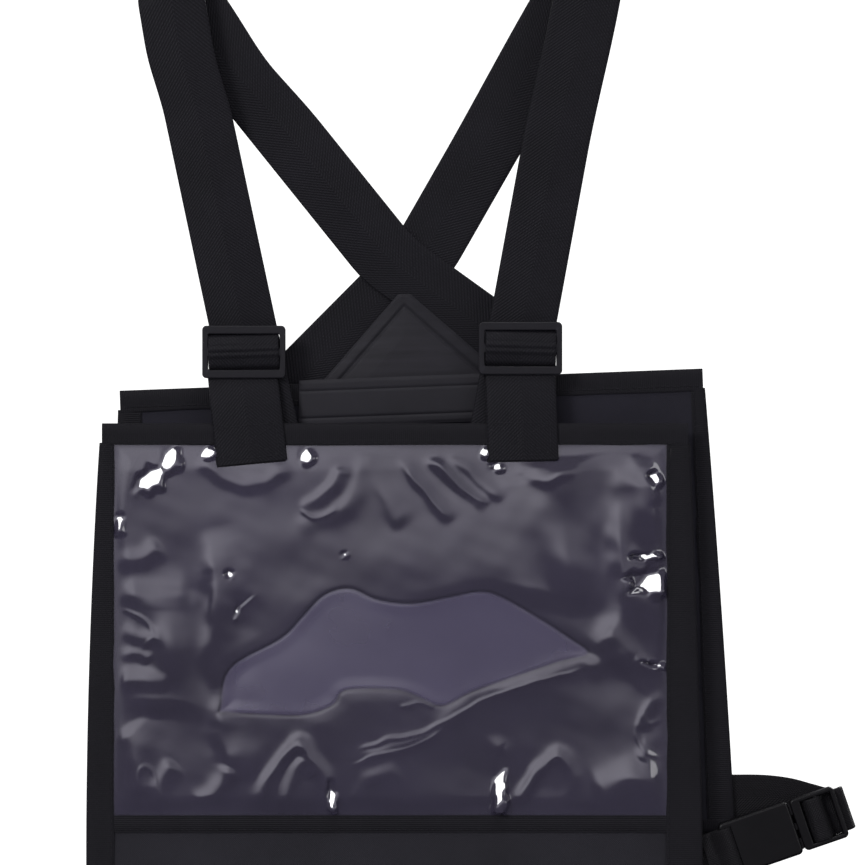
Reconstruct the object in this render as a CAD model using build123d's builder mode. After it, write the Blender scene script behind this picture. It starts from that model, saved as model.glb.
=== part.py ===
from build123d import *
import os
from math import cos, radians, sin, tan

os.makedirs("parts", exist_ok=True)

# ---------------------------------------------------------------- driving dimensions, mm
# The vest hangs as worn: +Z up, the front panel faces -Y, Z = 0 is the shoulder line.
GAP = 0.05  # clearance between layers that are sewn together
WEB_W = 40.0  # shoulder webbing
WEB_T = 1.5
SIDE_W = 25.0  # side webbing
SIDE_T = 1.4

# panels (front and back share one pattern)
PANEL_TOP = 351.0  # width at the top edge
PANEL_BOTTOM = 368.0  # width at the bottom edge
PANEL_H = 279.0
FABRIC_T = 1.6
CLEAR_T = 0.5
BIND_W = 12.0  # top binding
EDGE_X = 168.6  # the left border's inner edge, from the middle
MOUTH_X = 163.0  # the wider border on the pocket's mouth side
FOOT_W = 8.0
BIND_T = 0.6
BAND_TOP = 234.0  # below the top edge: seam band under the window
BAND_H = 10.0
TAPE_W = 9.0  # closure tapes in the pocket's mouth
TAPE_T = 0.4

# where the layers lie along Y
FRONT_Y = -8.6  # rear face of the front fabric
FRONT_TOP_Z = -273.0
BACK_Y = 5.2  # rear face of the back fabric
BACK_TOP_Z = -246.6
BACK_X = 9.6
BACK_TILT = 2.18  # the back panel hangs slightly askew

# shoulder straps
STRAP_Y = -7.0  # middle of the front straps
STRAP_REF_Z = -210.0
LEFT_REF_X = -92.1
RIGHT_REF_X = 77.1
LEFT_LEAN = 12.0
RIGHT_LEAN = 10.4
STRAP_END_Z = -392.0
LEFT_BACK_Y = 7.25
RIGHT_BACK_Y = 9.0
LEFT_BACK_DIP = 51.2  # below the horizontal
RIGHT_BACK_DIP = 60.2
LEFT_LOW_DIP = 39.0  # after the sewn crossing
RIGHT_LOW_DIP = 47.2
LEFT_BACK_REF = (-42.0, -126.0)
RIGHT_BACK_REF = (36.0, -138.0)
FOLD_CLEAR = 1.2

# tri-glide adjusters
GLIDE_W = 50.0
GLIDE_H = 31.5
GLIDE_T = 3.0
GLIDE_Y = -10.4  # rear face
BAR_H = 5.0
WALL_W = 3.6
MID_BAR_H = 4.6
LEFT_GLIDE = (-90.6, -229.2)
RIGHT_GLIDE = (75.3, -227.0)
LEFT_TAB_LEAN = 5.5
RIGHT_TAB_LEAN = 1.0
TAB_W = 42.0
TAB_T = 2.4
TAB_TOP_Z = -252.0
TAB_END_Z = -295.0

# side-release buckle, along its own axis u (towards the clip), v across, w outwards
BUCKLE_X = 240.0
BUCKLE_Z = -514.0
BUCKLE_DIP = 19.0
BUCKLE_Y = -9.0
SHELL_L = 44.0
SHELL_W = 33.0
SHELL_T = 9.6
SHELL_WALL = 1.5
CLIP_L = 28.0
CLIP_W = 32.0
CLIP_T = 6.4
PRONG_T = 4.4
PRONG_W = 5.0
PRONG_L = 23.0
SIDE_Z = -497.0

# ---------------------------------------------------------------- shared shapes

PANEL_PTS = [
    (-PANEL_TOP / 2, 0),
    (PANEL_TOP / 2, 0),
    (PANEL_BOTTOM / 2, -PANEL_H),
    (-PANEL_BOTTOM / 2, -PANEL_H),
]


def half_width(drop):
    """Half of the panel's width at a drop below its top edge."""
    return PANEL_TOP / 2 + (PANEL_BOTTOM - PANEL_TOP) / 2 * drop / PANEL_H


def strip(x0_from_edge, x1_from_edge, side, drop0, drop1):
    """Corners of a strip that follows the panel's sloping left (-1) or right (+1) edge."""
    return [
        (side * (half_width(drop0) - x0_from_edge), -drop0),
        (side * (half_width(drop0) - x1_from_edge), -drop0),
        (side * (half_width(drop1) - x1_from_edge), -drop1),
        (side * (half_width(drop1) - x0_from_edge), -drop1),
    ]


def border(inner_x, side, drop0, drop1):
    """Corners of a side border: sloping outside, upright inside."""
    return [
        (side * (half_width(drop0) + BIND_T + GAP), -drop0),
        (side * inner_x, -drop0),
        (side * inner_x, -drop1),
        (side * (half_width(drop1) + BIND_T + GAP), -drop1),
    ]


def between(left_x, right_x, drop0, drop1):
    """Corners of an upright rectangle between the two borders."""
    return [(-left_x, -drop0), (right_x, -drop0), (right_x, -drop1), (-left_x, -drop1)]


def across(drop0, drop1, left_in, right_in):
    """Corners of a strip across the panel, held back from its two sloping edges."""
    return [
        (-half_width(drop0) + left_in, -drop0),
        (half_width(drop0) - right_in, -drop0),
        (half_width(drop1) - right_in, -drop1),
        (-half_width(drop1) + left_in, -drop1),
    ]


def front_plane(y):
    return Plane(origin=(0, y, FRONT_TOP_Z), x_dir=(1, 0, 0), z_dir=(0, -1, 0))


def back_plane(y):
    """The back panel's own plane, turned by its tilt, looking to the rear."""
    a = radians(BACK_TILT)
    return Plane(origin=(BACK_X, y, BACK_TOP_Z), x_dir=(cos(a), 0, sin(a)), z_dir=(0, -1, 0))


def face_plane(y):
    """Sketches on it use the row's own X and Z."""
    return Plane(origin=(0, y, 0), x_dir=(1, 0, 0), z_dir=(0, -1, 0))


def ribbon(start, direction, length, width):
    """Corners of a straight ribbon in X and Z."""
    dx, dz = direction
    px, pz = -dz * width / 2, dx * width / 2
    ex, ez = start[0] + dx * length, start[1] + dz * length
    return [
        (start[0] + px, start[1] + pz),
        (start[0] - px, start[1] - pz),
        (ex - px, ez - pz),
        (ex + px, ez + pz),
    ]


def meet(p, d, q, e):
    """Where the line through p along d meets the line through q along e."""
    cross = d[0] * e[1] - d[1] * e[0]
    s = ((q[0] - p[0]) * e[1] - (q[1] - p[1]) * e[0]) / cross
    return (p[0] + s * d[0], p[1] + s * d[1])


def down(angle_from_vertical):
    return (sin(radians(angle_from_vertical)), -cos(radians(angle_from_vertical)))


def dip(angle_below_horizontal, side):
    return (
        side * cos(radians(angle_below_horizontal)),
        -sin(radians(angle_below_horizontal)),
    )


def offset_point(p, d, amount):
    """The point moved sideways from direction d."""
    return (p[0] - d[1] * amount, p[1] + d[0] * amount)


# ---------------------------------------------------------------- front panel

FRONT_FACE = FRONT_Y - FABRIC_T  # front of the fabric
CLEAR_Y = FRONT_FACE - GAP
CLEAR_FACE = CLEAR_Y - CLEAR_T

with BuildPart() as front_panel:
    with BuildSketch(front_plane(FRONT_Y)):
        Polygon(*PANEL_PTS, align=None)
    extrude(amount=FABRIC_T)
front_panel.part.label = "front_panel"
export_step(front_panel.part, "parts/front_panel.step")

with BuildPart() as front_window:
    with BuildSketch(front_plane(CLEAR_Y)):
        Polygon(*across(2.0, BAND_TOP + BAND_H - 1.0, 2.0, 3.0), align=None)
    extrude(amount=CLEAR_T)
front_window.part.label = "front_window"
export_step(front_window.part, "parts/front_window.step")

BIND_BACK = FRONT_Y + GAP + BIND_T
BIND_DEPTH = FABRIC_T + CLEAR_T + 4 * GAP + 2 * BIND_T
BIND_FACE = BIND_BACK - BIND_DEPTH

with BuildPart() as front_binding_top:
    with BuildSketch(front_plane(BIND_BACK)):
        Polygon(*across(-BIND_T - GAP, BIND_W, 0, 0), align=None)
    extrude(amount=BIND_DEPTH)
    with BuildSketch(front_plane(BIND_BACK - BIND_T)):
        Polygon(*across(-GAP, BIND_W + 1, -5, -5), align=None)
    extrude(amount=BIND_DEPTH - 2 * BIND_T, mode=Mode.SUBTRACT)
front_binding_top.part.label = "front_binding_top"
export_step(front_binding_top.part, "parts/front_binding_top.step")

SIDE_TOP = BIND_W + GAP
SIDE_FOOT = PANEL_H - FOOT_W - GAP

with BuildPart() as front_binding_left:
    with BuildSketch(front_plane(BIND_BACK)):
        Polygon(*border(EDGE_X, -1, SIDE_TOP, SIDE_FOOT), align=None)
    extrude(amount=BIND_DEPTH)
    with BuildSketch(front_plane(BIND_BACK - BIND_T)):
        Polygon(*strip(-GAP, 30, -1, 0, PANEL_H), align=None)
    extrude(amount=BIND_DEPTH - 2 * BIND_T, mode=Mode.SUBTRACT)
front_binding_left.part.label = "front_binding_left"
export_step(front_binding_left.part, "parts/front_binding_left.step")

# The mouth side's border stands off the clear sheet, to leave room for the closure tapes.
MOUTH_DEPTH = BIND_DEPTH + 2 * TAPE_T + 2 * GAP

with BuildPart() as front_binding_right:
    with BuildSketch(front_plane(BIND_BACK)):
        Polygon(*border(MOUTH_X, 1, SIDE_TOP, SIDE_FOOT), align=None)
    extrude(amount=MOUTH_DEPTH)
    with BuildSketch(front_plane(BIND_BACK - BIND_T)):
        Polygon(*strip(-GAP, 30, 1, 0, PANEL_H), align=None)
    extrude(amount=MOUTH_DEPTH - 2 * BIND_T, mode=Mode.SUBTRACT)
front_binding_right.part.label = "front_binding_right"
export_step(front_binding_right.part, "parts/front_binding_right.step")

with BuildPart() as front_binding_bottom:
    with BuildSketch(front_plane(BIND_BACK)):
        Polygon(*across(PANEL_H - FOOT_W, PANEL_H + BIND_T + GAP, 0, 0), align=None)
    extrude(amount=BIND_DEPTH)
    with BuildSketch(front_plane(BIND_BACK - BIND_T)):
        Polygon(*across(PANEL_H - FOOT_W - 1, PANEL_H + GAP, -5, -5), align=None)
    extrude(amount=BIND_DEPTH - 2 * BIND_T, mode=Mode.SUBTRACT)
front_binding_bottom.part.label = "front_binding_bottom"
export_step(front_binding_bottom.part, "parts/front_binding_bottom.step")

with BuildPart() as front_window_band:
    with BuildSketch(front_plane(CLEAR_FACE - GAP)):
        Polygon(*between(EDGE_X - GAP, MOUTH_X - GAP, BAND_TOP, BAND_TOP + BAND_H), align=None)
    extrude(amount=BIND_T)
front_window_band.part.label = "front_window_band"
export_step(front_window_band.part, "parts/front_window_band.step")

with BuildPart() as pocket_tape_loop:
    with BuildSketch(front_plane(CLEAR_FACE - GAP)):
        Polygon(*strip(3.0, 3.0 + TAPE_W, 1, SIDE_TOP + 2, BAND_TOP - 4), align=None)
    extrude(amount=TAPE_T)
pocket_tape_loop.part.label = "pocket_tape_loop"
export_step(pocket_tape_loop.part, "parts/pocket_tape_loop.step")

with BuildPart() as pocket_tape_hook:
    with BuildSketch(front_plane(CLEAR_FACE - 2 * GAP - TAPE_T)):
        Polygon(*strip(3.0, 3.0 + TAPE_W, 1, SIDE_TOP + 2, BAND_TOP - 4), align=None)
    extrude(amount=TAPE_T - GAP)
pocket_tape_hook.part.label = "pocket_tape_hook"
export_step(pocket_tape_hook.part, "parts/pocket_tape_hook.step")

# ---------------------------------------------------------------- back panel

BACK_BIND_BACK = BACK_Y + CLEAR_T + 2 * GAP + GAP + BIND_T
BACK_BIND_DEPTH = FABRIC_T + CLEAR_T + 4 * GAP + 2 * BIND_T

with BuildPart() as back_panel:
    with BuildSketch(back_plane(BACK_Y)):
        Polygon(*PANEL_PTS, align=None)
    extrude(amount=FABRIC_T)
back_panel.part.label = "back_panel"
export_step(back_panel.part, "parts/back_panel.step")

with BuildPart() as back_window:
    with BuildSketch(back_plane(BACK_Y + GAP + CLEAR_T)):
        Polygon(*across(2.0, BAND_TOP + BAND_H - 1.0, 3.0, 2.0), align=None)
    extrude(amount=CLEAR_T)
back_window.part.label = "back_window"
export_step(back_window.part, "parts/back_window.step")

with BuildPart() as back_binding_top:
    with BuildSketch(back_plane(BACK_BIND_BACK)):
        Polygon(*across(-BIND_T - GAP, BIND_W, 0, 0), align=None)
    extrude(amount=BACK_BIND_DEPTH)
    with BuildSketch(back_plane(BACK_BIND_BACK - BIND_T)):
        Polygon(*across(-GAP, BIND_W + 1, -5, -5), align=None)
    extrude(amount=BACK_BIND_DEPTH - 2 * BIND_T, mode=Mode.SUBTRACT)
back_binding_top.part.label = "back_binding_top"
export_step(back_binding_top.part, "parts/back_binding_top.step")

with BuildPart() as back_binding_left:
    with BuildSketch(back_plane(BACK_BIND_BACK)):
        Polygon(*border(MOUTH_X, -1, SIDE_TOP, SIDE_FOOT), align=None)
    extrude(amount=BACK_BIND_DEPTH)
    with BuildSketch(back_plane(BACK_BIND_BACK - BIND_T)):
        Polygon(*strip(-GAP, 30, -1, 0, PANEL_H), align=None)
    extrude(amount=BACK_BIND_DEPTH - 2 * BIND_T, mode=Mode.SUBTRACT)
back_binding_left.part.label = "back_binding_left"
export_step(back_binding_left.part, "parts/back_binding_left.step")

with BuildPart() as back_binding_right:
    with BuildSketch(back_plane(BACK_BIND_BACK)):
        Polygon(*border(EDGE_X, 1, SIDE_TOP, SIDE_FOOT), align=None)
    extrude(amount=BACK_BIND_DEPTH)
    with BuildSketch(back_plane(BACK_BIND_BACK - BIND_T)):
        Polygon(*strip(-GAP, 30, 1, 0, PANEL_H), align=None)
    extrude(amount=BACK_BIND_DEPTH - 2 * BIND_T, mode=Mode.SUBTRACT)
back_binding_right.part.label = "back_binding_right"
export_step(back_binding_right.part, "parts/back_binding_right.step")

with BuildPart() as back_binding_bottom:
    with BuildSketch(back_plane(BACK_BIND_BACK)):
        Polygon(*across(PANEL_H - FOOT_W, PANEL_H + BIND_T + GAP, 0, 0), align=None)
    extrude(amount=BACK_BIND_DEPTH)
    with BuildSketch(back_plane(BACK_BIND_BACK - BIND_T)):
        Polygon(*across(PANEL_H - FOOT_W - 1, PANEL_H + GAP, -5, -5), align=None)
    extrude(amount=BACK_BIND_DEPTH - 2 * BIND_T, mode=Mode.SUBTRACT)
back_binding_bottom.part.label = "back_binding_bottom"
export_step(back_binding_bottom.part, "parts/back_binding_bottom.step")

with BuildPart() as back_window_band:
    with BuildSketch(back_plane(BACK_Y + CLEAR_T + 2 * GAP + BIND_T)):
        Polygon(*between(MOUTH_X - GAP, EDGE_X - GAP, BAND_TOP, BAND_TOP + BAND_H), align=None)
    extrude(amount=BIND_T)
back_window_band.part.label = "back_window_band"
export_step(back_window_band.part, "parts/back_window_band.step")

# ---------------------------------------------------------------- shoulder straps

LEFT_D = down(LEFT_LEAN)
RIGHT_D = down(-RIGHT_LEAN)
LEFT_B = dip(LEFT_BACK_DIP, 1)
RIGHT_B = dip(RIGHT_BACK_DIP, -1)
LEFT_LOW = dip(LEFT_LOW_DIP, 1)
RIGHT_LOW = dip(RIGHT_LOW_DIP, -1)
LEFT_REF = (LEFT_REF_X, STRAP_REF_Z)
RIGHT_REF = (RIGHT_REF_X, STRAP_REF_Z)
LEFT_PEAK = meet(LEFT_REF, LEFT_D, LEFT_BACK_REF, LEFT_B)
RIGHT_PEAK = meet(RIGHT_REF, RIGHT_D, RIGHT_BACK_REF, RIGHT_B)


def unit(x, z):
    size = (x * x + z * z) ** 0.5
    return (x / size, z / size)


# A ribbon folded flat turns its line about the crease, so the crease halves the two lines.
LEFT_CREASE = unit(LEFT_B[0] - LEFT_D[0], LEFT_B[1] - LEFT_D[1])
RIGHT_CREASE = unit(RIGHT_D[0] - RIGHT_B[0], RIGHT_D[1] - RIGHT_B[1])
LEFT_R = (LEFT_BACK_Y - STRAP_Y) / 2
RIGHT_R = (RIGHT_BACK_Y - STRAP_Y) / 2
LEFT_AXIS_Y = (LEFT_BACK_Y + STRAP_Y) / 2
RIGHT_AXIS_Y = (RIGHT_BACK_Y + STRAP_Y) / 2


def strap_outline(peak, crease, d, clear, end_z, width):
    """A straight strap from a slanted crease down to a square end."""
    edge_a = offset_point(peak, d, width / 2)
    edge_b = offset_point(peak, d, -width / 2)
    low = (peak[0] + crease[1] * clear, peak[1] - crease[0] * clear)
    top_a = meet(edge_a, d, low, crease)
    top_b = meet(edge_b, d, low, crease)
    end = (peak[0] + d[0] * (end_z - peak[1]) / d[1], end_z)
    return [top_a, top_b, offset_point(end, d, -width / 2), offset_point(end, d, width / 2)]


with BuildPart() as strap_left_front:
    with BuildSketch(face_plane(STRAP_Y + WEB_T / 2)):
        Polygon(
            *strap_outline(LEFT_PEAK, LEFT_CREASE, LEFT_D, FOLD_CLEAR, STRAP_END_Z, WEB_W),
            align=None,
        )
    extrude(amount=WEB_T)
strap_left_front.part.label = "strap_left_front"
export_step(strap_left_front.part, "parts/strap_left_front.step")

with BuildPart() as strap_right_front:
    with BuildSketch(face_plane(STRAP_Y + WEB_T / 2)):
        Polygon(
            *strap_outline(RIGHT_PEAK, RIGHT_CREASE, RIGHT_D, FOLD_CLEAR, STRAP_END_Z, WEB_W),
            align=None,
        )
    extrude(amount=WEB_T)
strap_right_front.part.label = "strap_right_front"
export_step(strap_right_front.part, "parts/strap_right_front.step")


def back_outline(peak, crease, upper, kink, lower, length):
    """A back strap: down from the crease to the sewn crossing, then on along its new line."""
    half = WEB_W / 2
    a0 = meet(offset_point(peak, upper, half), upper, peak, crease)
    b0 = meet(offset_point(peak, upper, -half), upper, peak, crease)
    a1 = meet(a0, upper, offset_point(kink, lower, half), lower)
    b1 = meet(b0, upper, offset_point(kink, lower, -half), lower)
    end = (kink[0] + lower[0] * length, kink[1] + lower[1] * length)
    return [a0, b0, b1, offset_point(end, lower, -half), offset_point(end, lower, half), a1]


SEW_DROP = 10.0  # the straps' sewn ends stop this far below the back panel's top edge
TRIM = 60.0


def trim_below(drop):
    """A block that covers everything under a line across the back panel."""
    return [(-PANEL_TOP, -drop), (PANEL_TOP, -drop), (PANEL_TOP, -drop - TRIM), (-PANEL_TOP, -drop - TRIM)]


CROSSING = meet(LEFT_BACK_REF, LEFT_B, RIGHT_BACK_REF, RIGHT_B)
LEFT_LOW_L = 105.0
RIGHT_LOW_L = 112.0


def fold_plane(peak, crease, axis_y):
    """Square to the crease at the strap's middle; its local x runs to the rear."""
    return Plane(origin=(peak[0], axis_y, peak[1]), x_dir=(0, 1, 0), z_dir=(crease[0], 0, crease[1]))


LEFT_FOLD_L = WEB_W / abs(LEFT_D[0] * LEFT_CREASE[1] - LEFT_D[1] * LEFT_CREASE[0])
RIGHT_FOLD_L = WEB_W / abs(RIGHT_D[0] * RIGHT_CREASE[1] - RIGHT_D[1] * RIGHT_CREASE[0])

with BuildPart() as strap_left_back:
    with BuildSketch(face_plane(LEFT_BACK_Y + WEB_T / 2)):
        Polygon(
            *back_outline(LEFT_PEAK, LEFT_CREASE, LEFT_B, CROSSING, LEFT_LOW, LEFT_LOW_L),
            align=None,
        )
    extrude(amount=WEB_T)
    with BuildSketch(fold_plane(LEFT_PEAK, LEFT_CREASE, LEFT_AXIS_Y)):
        Circle(LEFT_R + WEB_T / 2)
        Circle(LEFT_R - WEB_T / 2, mode=Mode.SUBTRACT)
        with Locations((0, -LEFT_R)):
            Rectangle(4 * LEFT_R, 2 * LEFT_R, mode=Mode.SUBTRACT)
    extrude(amount=LEFT_FOLD_L / 2, both=True)
    with BuildSketch(back_plane(0)):
        Polygon(*trim_below(SEW_DROP), align=None)
    extrude(amount=TRIM, both=True, mode=Mode.SUBTRACT)
strap_left_back.part.label = "strap_left_back"
export_step(strap_left_back.part, "parts/strap_left_back.step")

with BuildPart() as strap_right_back:
    with BuildSketch(face_plane(RIGHT_BACK_Y + WEB_T / 2)):
        Polygon(
            *back_outline(RIGHT_PEAK, RIGHT_CREASE, RIGHT_B, CROSSING, RIGHT_LOW, RIGHT_LOW_L),
            align=None,
        )
    extrude(amount=WEB_T)
    with BuildSketch(fold_plane(RIGHT_PEAK, RIGHT_CREASE, RIGHT_AXIS_Y)):
        Circle(RIGHT_R + WEB_T / 2)
        Circle(RIGHT_R - WEB_T / 2, mode=Mode.SUBTRACT)
        with Locations((0, -RIGHT_R)):
            Rectangle(4 * RIGHT_R, 2 * RIGHT_R, mode=Mode.SUBTRACT)
    extrude(amount=RIGHT_FOLD_L / 2, both=True)
    with BuildSketch(back_plane(0)):
        Polygon(*trim_below(SEW_DROP), align=None)
    extrude(amount=TRIM, both=True, mode=Mode.SUBTRACT)
strap_right_back.part.label = "strap_right_back"
export_step(strap_right_back.part, "parts/strap_right_back.step")

# ---------------------------------------------------------------- yoke over the crossing

YOKE_T = 0.6
YOKE_PTS = [(3.0, -187.0), (-62.0, -252.0), (66.0, -247.2), (54.0, -222.0), (15.0, -187.0)]

with BuildPart() as yoke_patch:
    with BuildSketch(face_plane(LEFT_BACK_Y - WEB_T / 2 - GAP)):
        Polygon(*YOKE_PTS, align=None)
    extrude(amount=YOKE_T)
    with BuildSketch(back_plane(0)):
        Polygon(*trim_below(-BIND_T - 2 * GAP), align=None)
    extrude(amount=TRIM, both=True, mode=Mode.SUBTRACT)
yoke_patch.part.label = "yoke_patch"
export_step(yoke_patch.part, "parts/yoke_patch.step")

with BuildPart() as yoke_backing:
    with BuildSketch(face_plane(RIGHT_BACK_Y + WEB_T / 2 + GAP + YOKE_T)):
        Polygon(*YOKE_PTS, align=None)
    extrude(amount=YOKE_T)
yoke_backing.part.label = "yoke_backing"
export_step(yoke_backing.part, "parts/yoke_backing.step")

# ---------------------------------------------------------------- tabs and tri-glides


def tab_outline(glide, lean):
    d = down(lean)
    top = (glide[0] + d[0] * (TAB_TOP_Z - glide[1]) / d[1], TAB_TOP_Z)
    return ribbon(top, d, (TAB_TOP_Z - TAB_END_Z) / cos(radians(lean)), TAB_W)


TAB_Y = BIND_FACE - GAP

with BuildPart() as tab_left:
    with BuildSketch(face_plane(TAB_Y)):
        Polygon(*tab_outline(LEFT_GLIDE, LEFT_TAB_LEAN), align=None)
    extrude(amount=TAB_T)
tab_left.part.label = "tab_left"
export_step(tab_left.part, "parts/tab_left.step")

with BuildPart() as tab_right:
    with BuildSketch(face_plane(TAB_Y)):
        Polygon(*tab_outline(RIGHT_GLIDE, RIGHT_TAB_LEAN), align=None)
    extrude(amount=TAB_T)
tab_right.part.label = "tab_right"
export_step(tab_right.part, "parts/tab_right.step")


def glide_plane(at, y):
    return Plane(origin=(at[0], y, at[1]), x_dir=(1, 0, 0), z_dir=(0, -1, 0))


def profile_plane(at):
    """Square to the bars; local x runs to the front and local y runs up."""
    return Plane(origin=(at[0], 0, at[1]), x_dir=(0, -1, 0), z_dir=(-1, 0, 0))


SLOT_W = GLIDE_W - 2 * WALL_W
SLOT_H = (GLIDE_H - 2 * BAR_H - MID_BAR_H) / 2
SLOT_AT = (MID_BAR_H + SLOT_H) / 2
MID_Y = -GLIDE_Y + GLIDE_T / 2  # middle of the centre bar, towards the front
LOOP_T = 1.0
WRAP_T = 1.3
WRAP_W = 39.0

with BuildPart() as triglide_left:
    with BuildSketch(glide_plane(LEFT_GLIDE, GLIDE_Y)):
        RectangleRounded(GLIDE_W, GLIDE_H, 2.6)
        with Locations((0, SLOT_AT), (0, -SLOT_AT)):
            RectangleRounded(SLOT_W, SLOT_H, 1.0, mode=Mode.SUBTRACT)
    extrude(amount=GLIDE_T)
    fillet(triglide_left.edges().filter_by(Plane.XZ).group_by(Axis.Y)[0], 0.7)
triglide_left.part.label = "triglide_left"
export_step(triglide_left.part, "parts/triglide_left.step")

with BuildPart() as triglide_right:
    with BuildSketch(glide_plane(RIGHT_GLIDE, GLIDE_Y)):
        RectangleRounded(GLIDE_W, GLIDE_H, 2.6)
        with Locations((0, SLOT_AT), (0, -SLOT_AT)):
            RectangleRounded(SLOT_W, SLOT_H, 1.0, mode=Mode.SUBTRACT)
    extrude(amount=GLIDE_T)
    fillet(triglide_right.edges().filter_by(Plane.XZ).group_by(Axis.Y)[0], 0.7)
triglide_right.part.label = "triglide_right"
export_step(triglide_right.part, "parts/triglide_right.step")

# The tab's loop: up behind the bottom bar and once round the centre bar.
LOOP_OUT_X = MID_BAR_H / 2 + GAP + LOOP_T
LOOP_BACK = -GLIDE_Y - 0.1 - LOOP_T  # rear of the ply behind the bars, towards the front
LOOP_FRONT = -GLIDE_Y + GLIDE_T + GAP + LOOP_T
LOOP_LOW = TAB_TOP_Z + 0.3

with BuildPart() as tab_loop_left:
    with BuildSketch(profile_plane(LEFT_GLIDE)):
        with BuildLine():
            FilletPolyline(
                (LOOP_BACK + LOOP_T / 2, LOOP_LOW - LEFT_GLIDE[1]),
                (LOOP_BACK + LOOP_T / 2, LOOP_OUT_X - LOOP_T / 2),
                (LOOP_FRONT - LOOP_T / 2, LOOP_OUT_X - LOOP_T / 2),
                (LOOP_FRONT - LOOP_T / 2, -LOOP_OUT_X + LOOP_T / 2),
                (LOOP_BACK + 1.75 * LOOP_T, -LOOP_OUT_X + LOOP_T / 2),
                radius=0.55,
            )
        trace(line_width=LOOP_T)
    extrude(amount=TAB_W / 2 - 1.0, both=True)
tab_loop_left.part.label = "tab_loop_left"
export_step(tab_loop_left.part, "parts/tab_loop_left.step")

with BuildPart() as tab_loop_right:
    with BuildSketch(profile_plane(RIGHT_GLIDE)):
        with BuildLine():
            FilletPolyline(
                (LOOP_BACK + LOOP_T / 2, LOOP_LOW - RIGHT_GLIDE[1]),
                (LOOP_BACK + LOOP_T / 2, LOOP_OUT_X - LOOP_T / 2),
                (LOOP_FRONT - LOOP_T / 2, LOOP_OUT_X - LOOP_T / 2),
                (LOOP_FRONT - LOOP_T / 2, -LOOP_OUT_X + LOOP_T / 2),
                (LOOP_BACK + 1.75 * LOOP_T, -LOOP_OUT_X + LOOP_T / 2),
                radius=0.55,
            )
        trace(line_width=LOOP_T)
    extrude(amount=TAB_W / 2 - 1.0, both=True)
tab_loop_right.part.label = "tab_loop_right"
export_step(tab_loop_right.part, "parts/tab_loop_right.step")

# The strap's turn over the centre bar, outside the tab's loop.
WRAP_HALF = LOOP_OUT_X + GAP + WRAP_T / 2
WRAP_FRONT = LOOP_FRONT + GAP + WRAP_T / 2
WRAP_FOOT = -GLIDE_Y + 0.2

with BuildPart() as strap_wrap_left:
    with BuildSketch(profile_plane(LEFT_GLIDE)):
        with BuildLine():
            FilletPolyline(
                (WRAP_FOOT, WRAP_HALF),
                (WRAP_FRONT, WRAP_HALF),
                (WRAP_FRONT, -WRAP_HALF),
                (WRAP_FOOT, -WRAP_HALF),
                radius=1.6,
            )
        trace(line_width=WRAP_T)
    extrude(amount=WRAP_W / 2, both=True)
strap_wrap_left.part.label = "strap_wrap_left"
export_step(strap_wrap_left.part, "parts/strap_wrap_left.step")

with BuildPart() as strap_wrap_right:
    with BuildSketch(profile_plane(RIGHT_GLIDE)):
        with BuildLine():
            FilletPolyline(
                (WRAP_FOOT, WRAP_HALF),
                (WRAP_FRONT, WRAP_HALF),
                (WRAP_FRONT, -WRAP_HALF),
                (WRAP_FOOT, -WRAP_HALF),
                radius=1.6,
            )
        trace(line_width=WRAP_T)
    extrude(amount=WRAP_W / 2, both=True)
strap_wrap_right.part.label = "strap_wrap_right"
export_step(strap_wrap_right.part, "parts/strap_wrap_right.step")

# ---------------------------------------------------------------- side-release buckle

BUCKLE_U = (cos(radians(BUCKLE_DIP)), 0, sin(radians(BUCKLE_DIP)))


def buckle_plane(w):
    """Local x runs along the buckle to the clip's end, local y across it; w is outwards."""
    return Plane(origin=(BUCKLE_X, BUCKLE_Y - w, BUCKLE_Z), x_dir=BUCKLE_U, z_dir=(0, -1, 0))


# The socket: a flat shell from u = -SHELL_L to 0, open at its mouth (u = 0) and at both sides
# there, so that the clip's catches show and can be pressed.
WINDOW_L = 15.0  # side openings, from the mouth back
WINDOW_AT = 12.0
HOLLOW_W = SHELL_W - 2 * SHELL_WALL
HOLLOW_T = SHELL_T - 2 * SHELL_WALL
HOLLOW_L = 27.0
SOCKET_SLOT_L = 4.4
SOCKET_SLOT_W = SIDE_W + 1.4

with BuildPart() as buckle_socket:
    with BuildSketch(buckle_plane(-SHELL_T / 2)):
        with Locations((-SHELL_L / 2, 0)):
            RectangleRounded(SHELL_L, SHELL_W, 3.0)
    extrude(amount=SHELL_T)
    fillet(buckle_socket.edges().group_by(Axis.Y)[0], 1.6)
    fillet(buckle_socket.edges().group_by(Axis.Y)[-1], 1.6)
    with BuildSketch(buckle_plane(-HOLLOW_T / 2)):
        with Locations((-HOLLOW_L / 2 + 1, 0)):
            Rectangle(HOLLOW_L + 2, HOLLOW_W)
    extrude(amount=HOLLOW_T, mode=Mode.SUBTRACT)
    with BuildSketch(buckle_plane(-HOLLOW_T / 2)):
        with Locations((-WINDOW_AT + WINDOW_L / 2, SHELL_W / 2), (-WINDOW_AT + WINDOW_L / 2, -SHELL_W / 2)):
            Rectangle(WINDOW_L, SHELL_WALL * 4)
    extrude(amount=HOLLOW_T, mode=Mode.SUBTRACT)
    with BuildSketch(buckle_plane(-SHELL_T)):
        with Locations((-SHELL_L + 3.0 + SOCKET_SLOT_L / 2, 0)):
            Rectangle(SOCKET_SLOT_L, SOCKET_SLOT_W)
    extrude(amount=2 * SHELL_T, mode=Mode.SUBTRACT)
buckle_socket.part.label = "buckle_socket"
export_step(buckle_socket.part, "parts/buckle_socket.step")

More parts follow.
